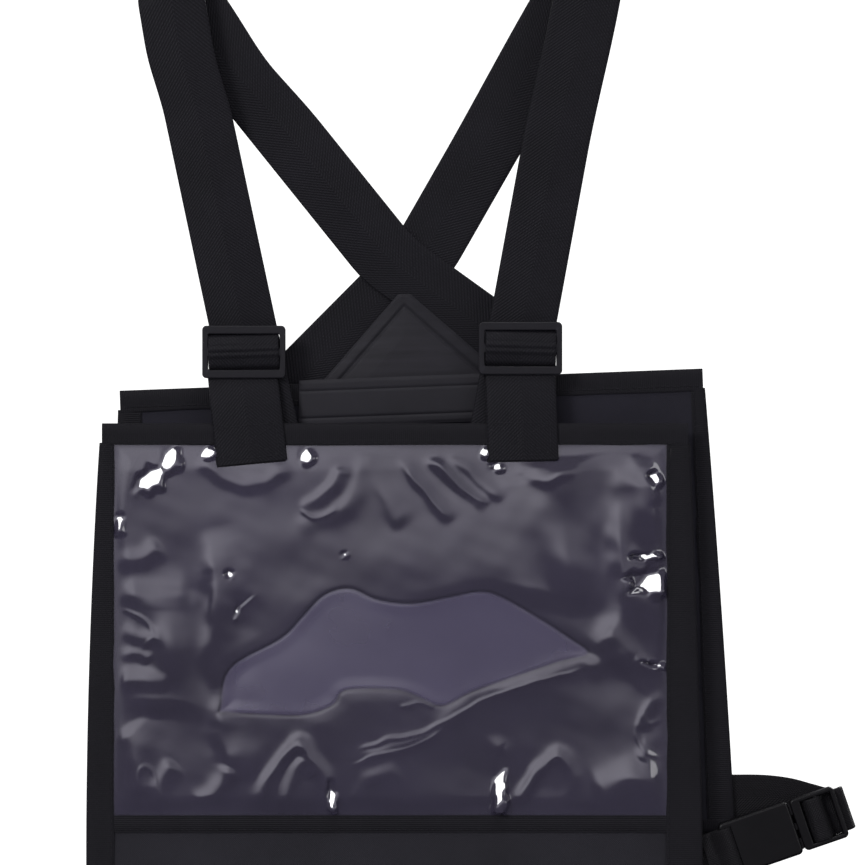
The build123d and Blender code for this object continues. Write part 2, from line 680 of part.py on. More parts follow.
# The clip: a ladder-lock frame outside the mouth with two prong roots.
FRAME_AT = 1.2
FRAME_WALL = 3.2
LADDER_BAR = 3.0
SLOT_U = (CLIP_L - 2 * FRAME_WALL - 2 * LADDER_BAR) / 2
ROOT_L = 4.0
PRONG_AT = SHELL_W / 2 - SHELL_WALL - PRONG_W / 2 - 2.6

with BuildPart() as buckle_clip:
    with BuildSketch(buckle_plane(-CLIP_T / 2)):
        with Locations((FRAME_AT + CLIP_L / 2, 0)):
            RectangleRounded(CLIP_L, CLIP_W, 3.0)
        with Locations((FRAME_AT + FRAME_WALL + 3.0 + SLOT_U / 2, 0), (FRAME_AT + CLIP_L - FRAME_WALL - SLOT_U / 2, 0)):
            Rectangle(SLOT_U, SIDE_W + 1.0, mode=Mode.SUBTRACT)
    extrude(amount=CLIP_T)
    fillet(buckle_clip.edges().group_by(Axis.Y)[0], 1.0)
    with BuildSketch(buckle_plane(-PRONG_T / 2)):
        with Locations((-PRONG_L / 2 + FRAME_AT + 1, 0)):
            Rectangle(PRONG_L + 2, 4.0)
    extrude(amount=PRONG_T)
buckle_clip.part.label = "buckle_clip"
export_step(buckle_clip.part, "parts/buckle_clip.step")


def prong_points(side):
    """A sprung arm with its catch, from the clip's frame into the socket."""
    y0 = side * PRONG_AT
    out = side * PRONG_W / 2
    return [
        (FRAME_AT - GAP, y0 - out),
        (-PRONG_L + 3.0, y0 - out),
        (-PRONG_L, y0 - out * 0.2),
        (-PRONG_L + 1.0, y0 + out * 0.8),
        (-WINDOW_AT + 1.0, y0 + out + side * 2.3),
        (-WINDOW_AT + 4.5, y0 + out + side * 2.9),
        (-WINDOW_AT + 9.0, y0 + out + side * 2.0),
        (FRAME_AT - GAP, y0 + out + side * 1.6),
    ]


with BuildPart() as prong_upper:
    with BuildSketch(buckle_plane(-PRONG_T / 2)):
        Polygon(*prong_points(1), align=None)
    extrude(amount=PRONG_T)
prong_upper.part.label = "prong_upper"
export_step(prong_upper.part, "parts/prong_upper.step")

with BuildPart() as prong_lower:
    with BuildSketch(buckle_plane(-PRONG_T / 2)):
        Polygon(*prong_points(-1), align=None)
    extrude(amount=PRONG_T)
prong_lower.part.label = "prong_lower"
export_step(prong_lower.part, "parts/prong_lower.step")

# ---------------------------------------------------------------- side webbing


def side_plane(dip_angle, at):
    """Square to the webbing's width; local x runs to the right and local y to the rear."""
    a = radians(dip_angle)
    return Plane(origin=at, x_dir=(cos(a), 0, sin(a)), z_dir=(-sin(a), 0, cos(a)))


BUCKLE_ORIGIN = (BUCKLE_X, BUCKLE_Y, BUCKLE_Z)
SOCKET_SLOT_U = -SHELL_L + 3.0 + SOCKET_SLOT_L / 2
SOCKET_ROOT = -74.0

# Sewn behind the front panel, through the socket's slot and back on itself.
with BuildPart() as socket_webbing:
    with BuildSketch(side_plane(BUCKLE_DIP, BUCKLE_ORIGIN)):
        with BuildLine():
            FilletPolyline(
                (SOCKET_ROOT, BIND_BACK + GAP + SIDE_T / 2 - BUCKLE_Y),
                (-SHELL_L - 4.5, BIND_BACK + GAP + SIDE_T / 2 - BUCKLE_Y),
                (-SHELL_L - 1.5, SHELL_T / 2 + 0.9),
                (SOCKET_SLOT_U, SHELL_T / 2 + 0.9),
                (SOCKET_SLOT_U, -SHELL_T / 2 - 0.9),
                (-SHELL_L - 1.4, -SHELL_T / 2 - 0.9),
                (-SHELL_L - 3.4, -1.4),
                radius=0.9,
            )
        trace(line_width=SIDE_T)
    extrude(amount=SIDE_W / 2, both=True)
socket_webbing.part.label = "socket_webbing"
export_step(socket_webbing.part, "parts/socket_webbing.step")

# The adjustable strap from the back panel, cut where it is free to bend.
CUT_X = 244.0
CUT_U = 9.6  # the other side of the cut, along the buckle
REAR_ROOT_X = 186.0

with BuildPart() as side_strap_right_rear:
    with BuildSketch(Plane(origin=(0, BACK_BIND_BACK + GAP + SIDE_T, 0), x_dir=(1, 0, 0), z_dir=(0, -1, 0))):
        Polygon(
            (REAR_ROOT_X, SIDE_Z - SIDE_W / 2),
            (CUT_X, SIDE_Z - SIDE_W / 2),
            (CUT_X, SIDE_Z + SIDE_W / 2),
            (REAR_ROOT_X, SIDE_Z + SIDE_W / 2),
            align=None,
        )
    extrude(amount=SIDE_T)
side_strap_right_rear.part.label = "side_strap_right_rear"
export_step(side_strap_right_rear.part, "parts/side_strap_right_rear.step")

CLIP_END = FRAME_AT + CLIP_L
BAR_U = FRAME_AT + FRAME_WALL + 3.0 + SLOT_U + LADDER_BAR / 2
REAR_LOCAL = BACK_BIND_BACK + GAP + SIDE_T / 2 - BUCKLE_Y

with BuildPart() as side_strap_right_clip:
    with BuildSketch(side_plane(BUCKLE_DIP, BUCKLE_ORIGIN)):
        with BuildLine():
            FilletPolyline(
                (CUT_U, REAR_LOCAL),
                (CLIP_END + 5.0, REAR_LOCAL),
                (CLIP_END + 5.0, CLIP_T / 2 + 1.2),
                (BAR_U + 3.6, CLIP_T / 2 + 1.2),
                (BAR_U + 3.6, -CLIP_T / 2 - 1.0),
                (BAR_U - 3.4, -CLIP_T / 2 - 1.0),
                (BAR_U - 3.4, CLIP_T / 2 + 1.2),
                (FRAME_AT + 4.0, CLIP_T / 2 + 1.2),
                radius=0.9,
            )
        trace(line_width=SIDE_T)
    extrude(amount=SIDE_W / 2, both=True)
side_strap_right_clip.part.label = "side_strap_right_clip"
export_step(side_strap_right_clip.part, "parts/side_strap_right_clip.step")

# Left side: one plain length from panel to panel, folded flat between them, cut at the fold.
LEFT_Z = -519.0
LEFT_ROOT_X = -118.0
LEFT_FOLD_X = -183.5
FOLD_R = 2.2
LEFT_FRONT_Y = BIND_BACK + GAP + SIDE_T / 2
LEFT_REAR_Y = BACK_Y - FABRIC_T - GAP - BIND_T - 2 * GAP - SIDE_T / 2

with BuildPart() as side_strap_left_front:
    with BuildSketch(side_plane(0, (0, 0, LEFT_Z))):
        with BuildLine():
            FilletPolyline(
                (LEFT_ROOT_X, LEFT_FRONT_Y),
                (LEFT_FOLD_X, LEFT_FRONT_Y),
                (LEFT_FOLD_X, (LEFT_FRONT_Y + LEFT_REAR_Y) / 2 - 0.4),
                radius=FOLD_R,
            )
        trace(line_width=SIDE_T)
    extrude(amount=SIDE_W / 2, both=True)
side_strap_left_front.part.label = "side_strap_left_front"
export_step(side_strap_left_front.part, "parts/side_strap_left_front.step")

with BuildPart() as side_strap_left_rear:
    with BuildSketch(side_plane(0, (0, 0, LEFT_Z))):
        with BuildLine():
            FilletPolyline(
                (LEFT_ROOT_X, LEFT_REAR_Y),
                (LEFT_FOLD_X, LEFT_REAR_Y),
                (LEFT_FOLD_X, (LEFT_FRONT_Y + LEFT_REAR_Y) / 2 + 0.4),
                radius=FOLD_R,
            )
        trace(line_width=SIDE_T)
    extrude(amount=SIDE_W / 2, both=True)
side_strap_left_rear.part.label = "side_strap_left_rear"
export_step(side_strap_left_rear.part, "parts/side_strap_left_rear.step")
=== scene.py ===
import math

import bmesh
import bpy
import numpy as np
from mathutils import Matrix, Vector


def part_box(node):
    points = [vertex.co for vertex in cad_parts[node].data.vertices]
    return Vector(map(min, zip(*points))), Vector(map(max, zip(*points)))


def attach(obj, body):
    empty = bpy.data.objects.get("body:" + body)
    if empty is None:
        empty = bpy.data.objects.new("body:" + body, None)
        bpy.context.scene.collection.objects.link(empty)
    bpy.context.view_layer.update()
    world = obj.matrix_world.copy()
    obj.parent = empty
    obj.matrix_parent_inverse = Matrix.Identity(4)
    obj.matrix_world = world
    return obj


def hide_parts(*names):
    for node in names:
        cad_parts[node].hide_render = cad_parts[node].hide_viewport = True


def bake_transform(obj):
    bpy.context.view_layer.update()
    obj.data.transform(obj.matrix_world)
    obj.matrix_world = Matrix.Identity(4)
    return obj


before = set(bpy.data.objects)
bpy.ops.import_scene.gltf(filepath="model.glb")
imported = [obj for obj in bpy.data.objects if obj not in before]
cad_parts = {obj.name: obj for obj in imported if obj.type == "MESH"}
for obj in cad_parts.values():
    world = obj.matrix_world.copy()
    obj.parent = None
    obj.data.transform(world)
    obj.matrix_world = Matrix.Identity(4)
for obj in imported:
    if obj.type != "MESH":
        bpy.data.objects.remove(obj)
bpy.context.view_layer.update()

# ---------------------------------------------------------------- sizes, metres
WEB_W, WEB_T = 0.040, 0.0015
SIDE_W, SIDE_T = 0.0262, 0.0014
VIEW_W = 0.519  # width of the view in the plane of the vest
LENS, SENSOR = 200, 36
CAMERA = np.array((0.0225, -0.0100 - VIEW_W / (SENSOR / LENS), -0.2775))
KEY_LIGHT = np.array((-1.5, -2.2, 1.0))
FRONT = np.array((0.0, -1.0, 0.0))  # the way the front panel faces
UP = np.array((0.0, 0.0, 1.0))


def box(node):
    lo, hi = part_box(node)
    return np.array(lo), np.array(hi)


def mid_of(node):
    lo, hi = box(node)
    return (lo + hi) / 2


def smooth(v):
    v = np.clip(v, 0, 1)
    return v * v * (3 - 2 * v)


# ---------------------------------------------------------------- mesh makers


def make(name, verts, faces, mat, uv=None, sharp=50.0):
    """A mesh piece with smooth faces, sharp only past an angle, and a UV map in metres."""
    mesh = bpy.data.meshes.new(name)
    mesh.from_pydata([tuple(v) for v in verts], [], [tuple(int(i) for i in f) for f in faces])
    if uv is not None:
        layer = mesh.uv_layers.new(name="UVMap")
        index = np.empty(len(mesh.loops), np.int32)
        mesh.loops.foreach_get("vertex_index", index)
        layer.data.foreach_set("uv", np.asarray(uv, np.float32)[index].ravel())
    shell = bmesh.new()
    shell.from_mesh(mesh)
    bmesh.ops.recalc_face_normals(shell, faces=shell.faces)
    shell.to_mesh(mesh)
    shell.free()
    mesh.polygons.foreach_set("use_smooth", np.ones(len(mesh.polygons), bool))
    mesh.set_sharp_from_angle(angle=math.radians(sharp))
    mesh.validate()
    obj = bpy.data.objects.new(name, mesh)
    bpy.context.scene.collection.objects.link(obj)
    if mat:
        mesh.materials.append(mat)
    return obj


def loft(name, rings, uv, mat, cap=True, sharp=50.0):
    """Joins closed rings (n, m, 3) into a skin, capped at both ends."""
    n, m = rings.shape[:2]
    idx = np.arange(n * m).reshape(n, m)
    a, b = idx[:-1], idx[1:]
    a2, b2 = np.roll(a, -1, 1), np.roll(b, -1, 1)
    faces = [*np.stack([a, a2, b2, b], -1).reshape(-1, 4).tolist()]
    if cap:
        faces += [list(idx[0][::-1]), list(idx[-1])]
    return make(name, rings.reshape(-1, 3), faces, mat, uv.reshape(-1, 2), sharp)


def surface_frame(mid, s, t):
    """Points on a surface and their normals, by small steps in its two coordinates."""
    e = 2e-5
    p = mid(s, t)
    ds = mid(s + e, t) - mid(s - e, t)
    dt = mid(s, t + e) - mid(s, t - e)
    n = np.cross(ds, dt)
    return p, n / np.maximum(np.linalg.norm(n, axis=-1, keepdims=True), 1e-12)


def ribbon(name, mid, s_vals, width, thick, mat, nt=14):
    """Webbing: mid(s, t) is its middle surface, s along it and t across it."""
    r = thick / 2
    flat = np.linspace(-width / 2 + r, width / 2 - r, nt)
    arc = np.linspace(-math.pi / 2, math.pi / 2, 5)
    prof = [(x, r) for x in flat]
    prof += [(width / 2 - r + r * math.cos(a), -r * math.sin(a)) for a in arc[1:-1]]
    prof += [(x, -r) for x in flat[::-1]]
    prof += [(-width / 2 + r - r * math.cos(a), r * math.sin(a)) for a in arc[1:-1]]
    prof = np.array(prof)
    s = np.repeat(np.asarray(s_vals)[:, None], len(prof), 1)
    t = np.repeat(prof[None, :, 0], len(s_vals), 0)
    h = np.repeat(prof[None, :, 1], len(s_vals), 0)
    p, n = surface_frame(mid, s, t)
    return loft(name, p + n * h[..., None], np.stack([t, s], -1), mat)


def sheet(name, mid, u_vals, v_vals, thick, mat):
    """A closed thin sheet; mid(u, v) is its middle surface."""
    u, v = np.meshgrid(u_vals, v_vals, indexing="ij")
    p = mid(u, v)
    n = np.cross(np.gradient(p, axis=0), np.gradient(p, axis=1))
    n /= np.linalg.norm(n, axis=-1, keepdims=True)
    nu, nv = u.shape
    top = (p + n * thick / 2).reshape(-1, 3)
    low = (p - n * thick / 2).reshape(-1, 3)
    idx = np.arange(nu * nv).reshape(nu, nv)
    a, b, c, d = idx[:-1, :-1], idx[1:, :-1], idx[1:, 1:], idx[:-1, 1:]
    quads = np.stack([a, b, c, d], -1).reshape(-1, 4)
    k = nu * nv
    faces = quads.tolist() + (quads[:, ::-1] + k).tolist()
    rim = np.concatenate([idx[:, 0], idx[-1, 1:], idx[-2::-1, -1], idx[0, -2:0:-1]])
    nxt = np.roll(rim, -1)
    faces += np.stack([rim + k, nxt + k, nxt, rim], -1).tolist()
    uv = np.stack([u, v], -1).reshape(-1, 2)
    return make(name, np.concatenate([top, low]), faces, mat, np.concatenate([uv, uv]))


def catmull(points, per=12):
    """A smooth line through points."""
    pts = np.array(points, float)
    pts = np.concatenate([[2 * pts[0] - pts[1]], pts, [2 * pts[-1] - pts[-2]]])
    out = []
    for i in range(1, len(pts) - 2):
        p0, p1, p2, p3 = pts[i - 1 : i + 3]
        for x in np.arange(per) / per:
            bend = (2 * p0 - 5 * p1 + 4 * p2 - p3) * x * x
            out.append(0.5 * (2 * p1 + (p2 - p0) * x + bend + (3 * p1 - p0 - 3 * p2 + p3) * x**3))
    out.append(pts[-2])
    return np.array(out)


def path_surface(points, across, per=12):
    """mid(s, t) for webbing that follows a line, and its length.

    across is one width direction for all of it, or one for each point."""
    line = catmull(points, per)
    along = np.concatenate([[0], np.cumsum(np.linalg.norm(np.diff(line, axis=0), axis=1))])
    ws = np.array(across, float)
    if ws.ndim == 1:
        ws = np.repeat(ws[None], len(points), 0)
    wline = catmull(ws, per)

    def mid(s, t):
        c = np.stack([np.interp(s, along, line[:, k]) for k in range(3)], -1)
        w = np.stack([np.interp(s, along, wline[:, k]) for k in range(3)], -1)
        w = w / np.linalg.norm(w, axis=-1, keepdims=True)
        return c + w * t[..., None]

    return mid, float(along[-1])


def stitches(name, lines, pitch, mat, length=0.0026, radius=0.00028):
    """Rows of thread: each line is (points, outward normal). One small bead a stitch."""
    ring = np.array([(math.cos(a), math.sin(a)) for a in np.arange(6) * math.pi / 3])
    stations = [(-0.5, 0.25), (-0.36, 0.85), (0.0, 1.0), (0.36, 0.85), (0.5, 0.25)]
    verts, faces = [], []
    for pts, normal in lines:
        pts = np.array(pts, float)
        along = np.concatenate([[0], np.cumsum(np.linalg.norm(np.diff(pts, axis=0), axis=1))])
        count = max(1, int(along[-1] / pitch))
        for k in range(count):
            at = (k + 0.5) * along[-1] / count
            c1, c, c2 = (
                np.array([np.interp(at + step, along, pts[:, j]) for j in range(3)])
                for step in (-1e-4, 0, 1e-4)
            )
            d = (c2 - c1) / max(np.linalg.norm(c2 - c1), 1e-12)
            n = np.array(normal, float)
            n = n - d * (n @ d)
            n = n / np.linalg.norm(n)
            w = np.cross(d, n)
            base = len(verts)
            for x, r in stations:
                for a, b in ring:
                    verts.append(c + d * x * length + (w * a + n * (b * 0.8)) * r * radius)
            for i in range(len(stations) - 1):
                for j in range(6):
                    j2 = (j + 1) % 6
                    low, up = base + i * 6, base + i * 6 + 6
                    faces.append((low + j, low + j2, up + j2, up + j))
            faces.append(tuple(base + j for j in range(5, -1, -1)))
            faces.append(tuple(base + 24 + j for j in range(6)))
    return make(name, verts, faces, mat, np.zeros((len(verts), 2)), 80)


# ---------------------------------------------------------------- materials


def nodes_of(name, base, rough, spec=0.5):
    m = bpy.data.materials.new(name)
    m.use_nodes = True
    nt = m.node_tree
    p = nt.nodes["Principled BSDF"]
    p.inputs["Base Color"].default_value = (*base, 1)
    p.inputs["Roughness"].default_value = rough
    p.inputs["Specular IOR Level"].default_value = spec
    return m, nt, p


def math_node(nt, op, a, b=None, clamp=False):
    n = nt.nodes.new("ShaderNodeMath")
    n.operation = op
    n.use_clamp = clamp
    for i, x in enumerate((a, b)):
        if x is None:
            continue
        if isinstance(x, (int, float)):
            n.inputs[i].default_value = x
        else:
            nt.links.new(x, n.inputs[i])
    return n.outputs[0]


def coords(nt, kind="UV"):
    c = nt.nodes.new("ShaderNodeTexCoord")
    s = nt.nodes.new("ShaderNodeSeparateXYZ")
    nt.links.new(c.outputs[kind], s.inputs[0])
    return c.outputs[kind], s.outputs[0], s.outputs[1], s.outputs[2]


def mul_add(nt, x, factor, plus):
    n = math_node(nt, "MULTIPLY_ADD", x, factor)
    n.node.inputs[2].default_value = plus
    return n


def mul(nt, a, b):
    return math_node(nt, "MULTIPLY", a, b)


def blend_of(nt, a, share_a, b, share_b):
    """a * share_a + b * share_b."""
    return math_node(nt, "ADD", mul(nt, a, share_a), mul(nt, b, share_b))


def sine(nt, x, pitch):
    """A 0 to 1 wave of a coordinate in metres."""
    return mul_add(nt, math_node(nt, "SINE", mul(nt, x, 2 * math.pi / pitch)), 0.5, 0.5)


def noise(nt, vec, scale, detail=3.0, rough=0.55):
    n = nt.nodes.new("ShaderNodeTexNoise")
    n.inputs["Scale"].default_value = scale
    n.inputs["Detail"].default_value = detail
    n.inputs["Roughness"].default_value = rough
    nt.links.new(vec, n.inputs["Vector"])
    return n.outputs["Fac"]


def ramp(nt, fac, stops):
    n = nt.nodes.new("ShaderNodeValToRGB")
    while len(n.color_ramp.elements) > 1:
        n.color_ramp.elements.remove(n.color_ramp.elements[-1])
    n.color_ramp.elements[0].position = stops[0][0]
    n.color_ramp.elements[0].color = (*stops[0][1], 1)
    for pos, col in stops[1:]:
        e = n.color_ramp.elements.new(pos)
        e.color = (*col, 1)
    nt.links.new(fac, n.inputs[0])
    return n.outputs[0]


def bump(nt, p, height, distance, strength=1.0, after=None):
    n = nt.nodes.new("ShaderNodeBump")
    n.inputs["Strength"].default_value = strength
    n.inputs["Distance"].default_value = distance
    nt.links.new(height, n.inputs["Height"])
    if after is not None:
        nt.links.new(after, n.inputs["Normal"])
    nt.links.new(n.outputs[0], p.inputs["Normal"])
    return n.outputs[0]


def colour_from(nt, p, fac, base, low, high, start=0.0, end=1.0):
    """Base colour between two shades of one colour."""
    stops = [(start, tuple(c * low for c in base)), (end, tuple(c * high for c in base))]
    nt.links.new(ramp(nt, fac, stops), p.inputs["Base Color"])


def rough_from(nt, p, fac, low, high):
    n = nt.nodes.new("ShaderNodeMapRange")
    n.inputs["To Min"].default_value = low
    n.inputs["To Max"].default_value = high
    nt.links.new(fac, n.inputs["Value"])
    nt.links.new(n.outputs[0], p.inputs["Roughness"])


def webbing_material(name, base, rib=0.0022, warp=0.0016, depth=0.00022):
    """Woven tape: picks in rows across it, warp lines along it, in a slanted twill."""
    m, nt, p = nodes_of(name, base, 0.6, 0.13)
    vec, u, v, _ = coords(nt)
    rows = sine(nt, math_node(nt, "ADD", math_node(nt, "ABSOLUTE", u), v), rib)
    weave = mul(nt, rows, mul_add(nt, sine(nt, u, warp), 0.6, 0.4))
    broad = noise(nt, vec, 30)
    fine = noise(nt, vec, 900, 2)
    colour_from(nt, p, blend_of(nt, weave, 0.55, broad, 0.45), base, 0.55, 1.5, 0.15, 0.85)
    rough_from(nt, p, math_node(nt, "ADD", mul(nt, weave, -0.5), fine), 0.5, 0.78)
    first = bump(nt, p, weave, depth, 0.9)
    bump(nt, p, fine, depth * 0.5, 0.5, first)
    p.inputs["Sheen Weight"].default_value = 0.02
    p.inputs["Sheen Roughness"].default_value = 0.5
    return m


def oxford_material(name, base, cell=0.0011, depth=0.00014, sheen=0.1, low=0.5, high=0.7):
    """Coated basket weave."""
    m, nt, p = nodes_of(name, base, 0.6, 0.15)
    vec, u, v, _ = coords(nt)
    a, b = sine(nt, u, cell), sine(nt, v, cell)
    under = mul(nt, math_node(nt, "SUBTRACT", 1.0, a), math_node(nt, "SUBTRACT", 1.0, b))
    weave = math_node(nt, "ADD", mul(nt, a, b), under)
    broad = noise(nt, vec, 14)
    fine = noise(nt, vec, 700, 2)
    colour_from(nt, p, blend_of(nt, weave, 0.25, broad, 0.75), base, 0.65, 1.4, 0.2, 0.8)
    rough_from(nt, p, blend_of(nt, weave, 0.3, fine, 0.7), low, high)
    first = bump(nt, p, weave, depth, 0.8)
    bump(nt, p, fine, depth * 0.5, 0.4, first)
    p.inputs["Sheen Weight"].default_value = sheen
    return m


def grosgrain_material(name, base, rib=0.0012, yarn=0.0007, depth=0.00016):
    """Ribbed tape: fine ribs across its length (v runs along it)."""
    m, nt, p = nodes_of(name, base, 0.6, 0.13)
    vec, u, v, _ = coords(nt)
    ribs = blend_of(nt, sine(nt, v, rib), 0.75, sine(nt, u, yarn), 0.25)
    broad = noise(nt, vec, 22)
    colour_from(nt, p, blend_of(nt, ribs, 0.5, broad, 0.5), base, 0.6, 1.45, 0.2, 0.8)
    rough_from(nt, p, broad, 0.5, 0.72)
    bump(nt, p, ribs, depth, 0.9)
    p.inputs["Sheen Weight"].default_value = 0.02
    return m


def plastic_material(name, base):
    """Moulded acetal: fine spark-eroded grain, duller in patches, with a painted highlight that makes its
    convex edges paler in patches.
    """
    m, nt, p = nodes_of(name, base, 0.36, 0.2)
    vec, _, _, _ = coords(nt, "Object")
    grain = noise(nt, vec, 2600, 2, 0.7)
    rough_from(nt, p, noise(nt, vec, 60), 0.24, 0.40)
    geometry = nt.nodes.new("ShaderNodeNewGeometry")
    # painted highlight: sharp convex edges, found by pointiness, are made paler in patches, where they would
    # catch the light
    edge = ramp(nt, geometry.outputs["Pointiness"], [(0.5, (0, 0, 0)), (0.62, (1, 1, 1))])
    painted_edge_highlight = mul(nt, edge, mul(nt, noise(nt, vec, 300), 0.8))
    colour_from(nt, p, painted_edge_highlight, base, 0.9, 2.6)
    bump(nt, p, grain, 0.00004, 0.6)
    return m


def attribute(nt, name):
    n = nt.nodes.new("ShaderNodeAttribute")
    n.attribute_name = name
    return n.outputs["Fac"]


def clear_material(name, tint, alpha=0.88, rough=0.085):
    """Flexible clear PVC, a little hazed, over darker cloth; paler where it clings to the cloth."""
    m, nt, p = nodes_of(name, tint, rough, 0.8)
    vec, _, _, _ = coords(nt)
    shade = blend_of(nt, noise(nt, vec, 9, 4, 0.6), 0.5, attribute(nt, "cling"), 0.62)
    shade = math_node(nt, "SUBTRACT", shade, mul(nt, attribute(nt, "cling_rim"), 0.30), True)
    colour_from(nt, p, shade, tint, 0.60, 3.0)
    rough_from(nt, p, noise(nt, vec, 60, 3), rough * 0.85, rough * 1.25)
    p.inputs["Alpha"].default_value = alpha
    p.inputs["Coat Weight"].default_value = 0.2
    p.inputs["Coat Roughness"].default_value = 0.06
    return m


WEBBING = webbing_material("webbing", (0.0066, 0.0062, 0.0088))
SIDE_WEBBING = webbing_material("side_webbing", (0.0058, 0.0054, 0.0068), 0.0018, 0.0013)
OXFORD = oxford_material("oxford_cloth", (0.0112, 0.0107, 0.0146))
LINING = oxford_material("back_cloth", (0.0108, 0.0102, 0.0160), sheen=0.05)
SATIN = oxford_material("yoke_satin", (0.0150, 0.0144, 0.0180), 0.0007, 0.00006, 0.05, 0.4, 0.55)
BINDING = grosgrain_material("binding_tape", (0.0062, 0.0058, 0.0080))
PLASTIC = plastic_material("moulded_plastic", (0.0085, 0.0082, 0.0105))
BUCKLE = plastic_material("buckle_plastic", (0.0026, 0.0024, 0.0030))
THREAD = webbing_material("thread", (0.0100, 0.0095, 0.0125), 0.0006, 0.0005, 0.00005)
CLEAR = clear_material("clear_sheet", (0.0255, 0.0226, 0.0375))
CLEAR_BACK = clear_material("clear_sheet_back", (0.0275, 0.0245, 0.0400))
HOOK = oxford_material("closure_tape", (0.0120, 0.0115, 0.0130), 0.0009, 0.0003)

# ---------------------------------------------------------------- where the panels lie
f_lo, f_hi = box("front_panel")
PANEL_H = f_hi[2] - f_lo[2]
TOP_HALF = 0.1755  # half the panel's width along its top edge
FOOT_HALF = (f_hi[0] - f_lo[0]) / 2
FRONT_TOP = f_hi[2]
FABRIC_T = f_hi[1] - f_lo[1]
CLEAR_T = 0.0005
BIND_T = 0.0006
b_lo, b_hi = box("front_binding_top")
BIND_W = b_hi[2] - b_lo[2]
EDGE_X = -box("front_binding_left")[1][0]
MOUTH_X = box("front_binding_right")[0][0]
band_lo, band_hi = box("front_window_band")
BAND_TOP = FRONT_TOP - band_hi[2]
BAND_H = band_hi[2] - band_lo[2]
foot_lo, foot_hi = box("front_binding_bottom")
FOOT_W = foot_hi[2] - foot_lo[2]
BACK_TILT = math.radians(2.18)


def half_width(drop):
    return TOP_HALF + (FOOT_HALF - TOP_HALF) * drop / PANEL_H


def bow(drop, side):
    """How far the left (-1) and right (1) borders bulge outwards part-way down."""
    return (0.0026 if side < 0 else 0.0010) * np.sin(math.pi * np.clip(drop / PANEL_H, 0, 1)) ** 0.7


def front_wave(x, z):
    """The front panel's own slow undulation: how far it stands towards the front."""
    d = FRONT_TOP - z
    ripple = 1 + 0.5 * np.sin(x * 23.0 + 1.2) * np.sin(d * 17.0 + 0.4) + 0.35 * np.sin(x * 41.0 - d * 19.0)
    return 0.0013 * ripple * smooth(d / 0.09)


def back_wave(x, z):
    return 0.0009 * np.sin(x * 19.0 + 0.6) * np.sin(z * 15.0 + 1.0)


def front_point(x, drop, out):
    """Panel coordinates to the row frame. out is metres in front of the front cloth's middle."""
    z = FRONT_TOP - drop
    y = (f_lo[1] + f_hi[1]) / 2 - out - front_wave(x, z)
    return np.stack(np.broadcast_arrays(x, y, z), -1)


bp_lo, bp_hi = box("back_panel")
BACK_MID_Y = (bp_lo[1] + bp_hi[1]) / 2
BACK_X = bp_lo[0] + TOP_HALF * math.cos(BACK_TILT)
BACK_TOP = bp_hi[2] - TOP_HALF * math.sin(BACK_TILT)


def back_point(x, drop, out):
    """The same for the back panel; out is metres in front of its cloth, so negative is behind it."""
    c, s = math.cos(BACK_TILT), math.sin(BACK_TILT)
    wx = BACK_X + x * c + drop * s
    wz = BACK_TOP + x * s - drop * c
    wy = BACK_MID_Y - out + back_wave(wx, wz)
    return np.stack(np.broadcast_arrays(wx, wy, wz), -1)


# ---------------------------------------------------------------- panels, bindings


def declare(obj, body, slot, *nodes):
    """A piece that rides on one body and may stand for CAD nodes."""
    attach(obj, body)
    if nodes:
        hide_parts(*nodes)


def cloth(name, point, node, body, mat):
    """A panel's cloth, sewn in under its bindings."""

    def mid(u, v):
        # u runs from -1 to 1 between the sloping edges, v is the drop in metres
        return point(u * half_width(v), v, 0.0)

    obj = sheet(name, mid, np.linspace(-1, 1, 90), np.linspace(PANEL_H - 0.0003, 0.0003, 70), FABRIC_T, mat)
    scale_uv(obj, TOP_HALF)
    declare(obj, body, "panel_fabric", node)


def scale_uv(obj, factor):
    """Brings a sheet's across coordinate to metres."""
    layer = obj.data.uv_layers[0]
    co = np.empty(len(layer.data) * 2, np.float32)
    layer.data.foreach_get("uv", co)
    co = co.reshape(-1, 2)
    co[:, 0] *= factor
    layer.data.foreach_set("uv", co.ravel())


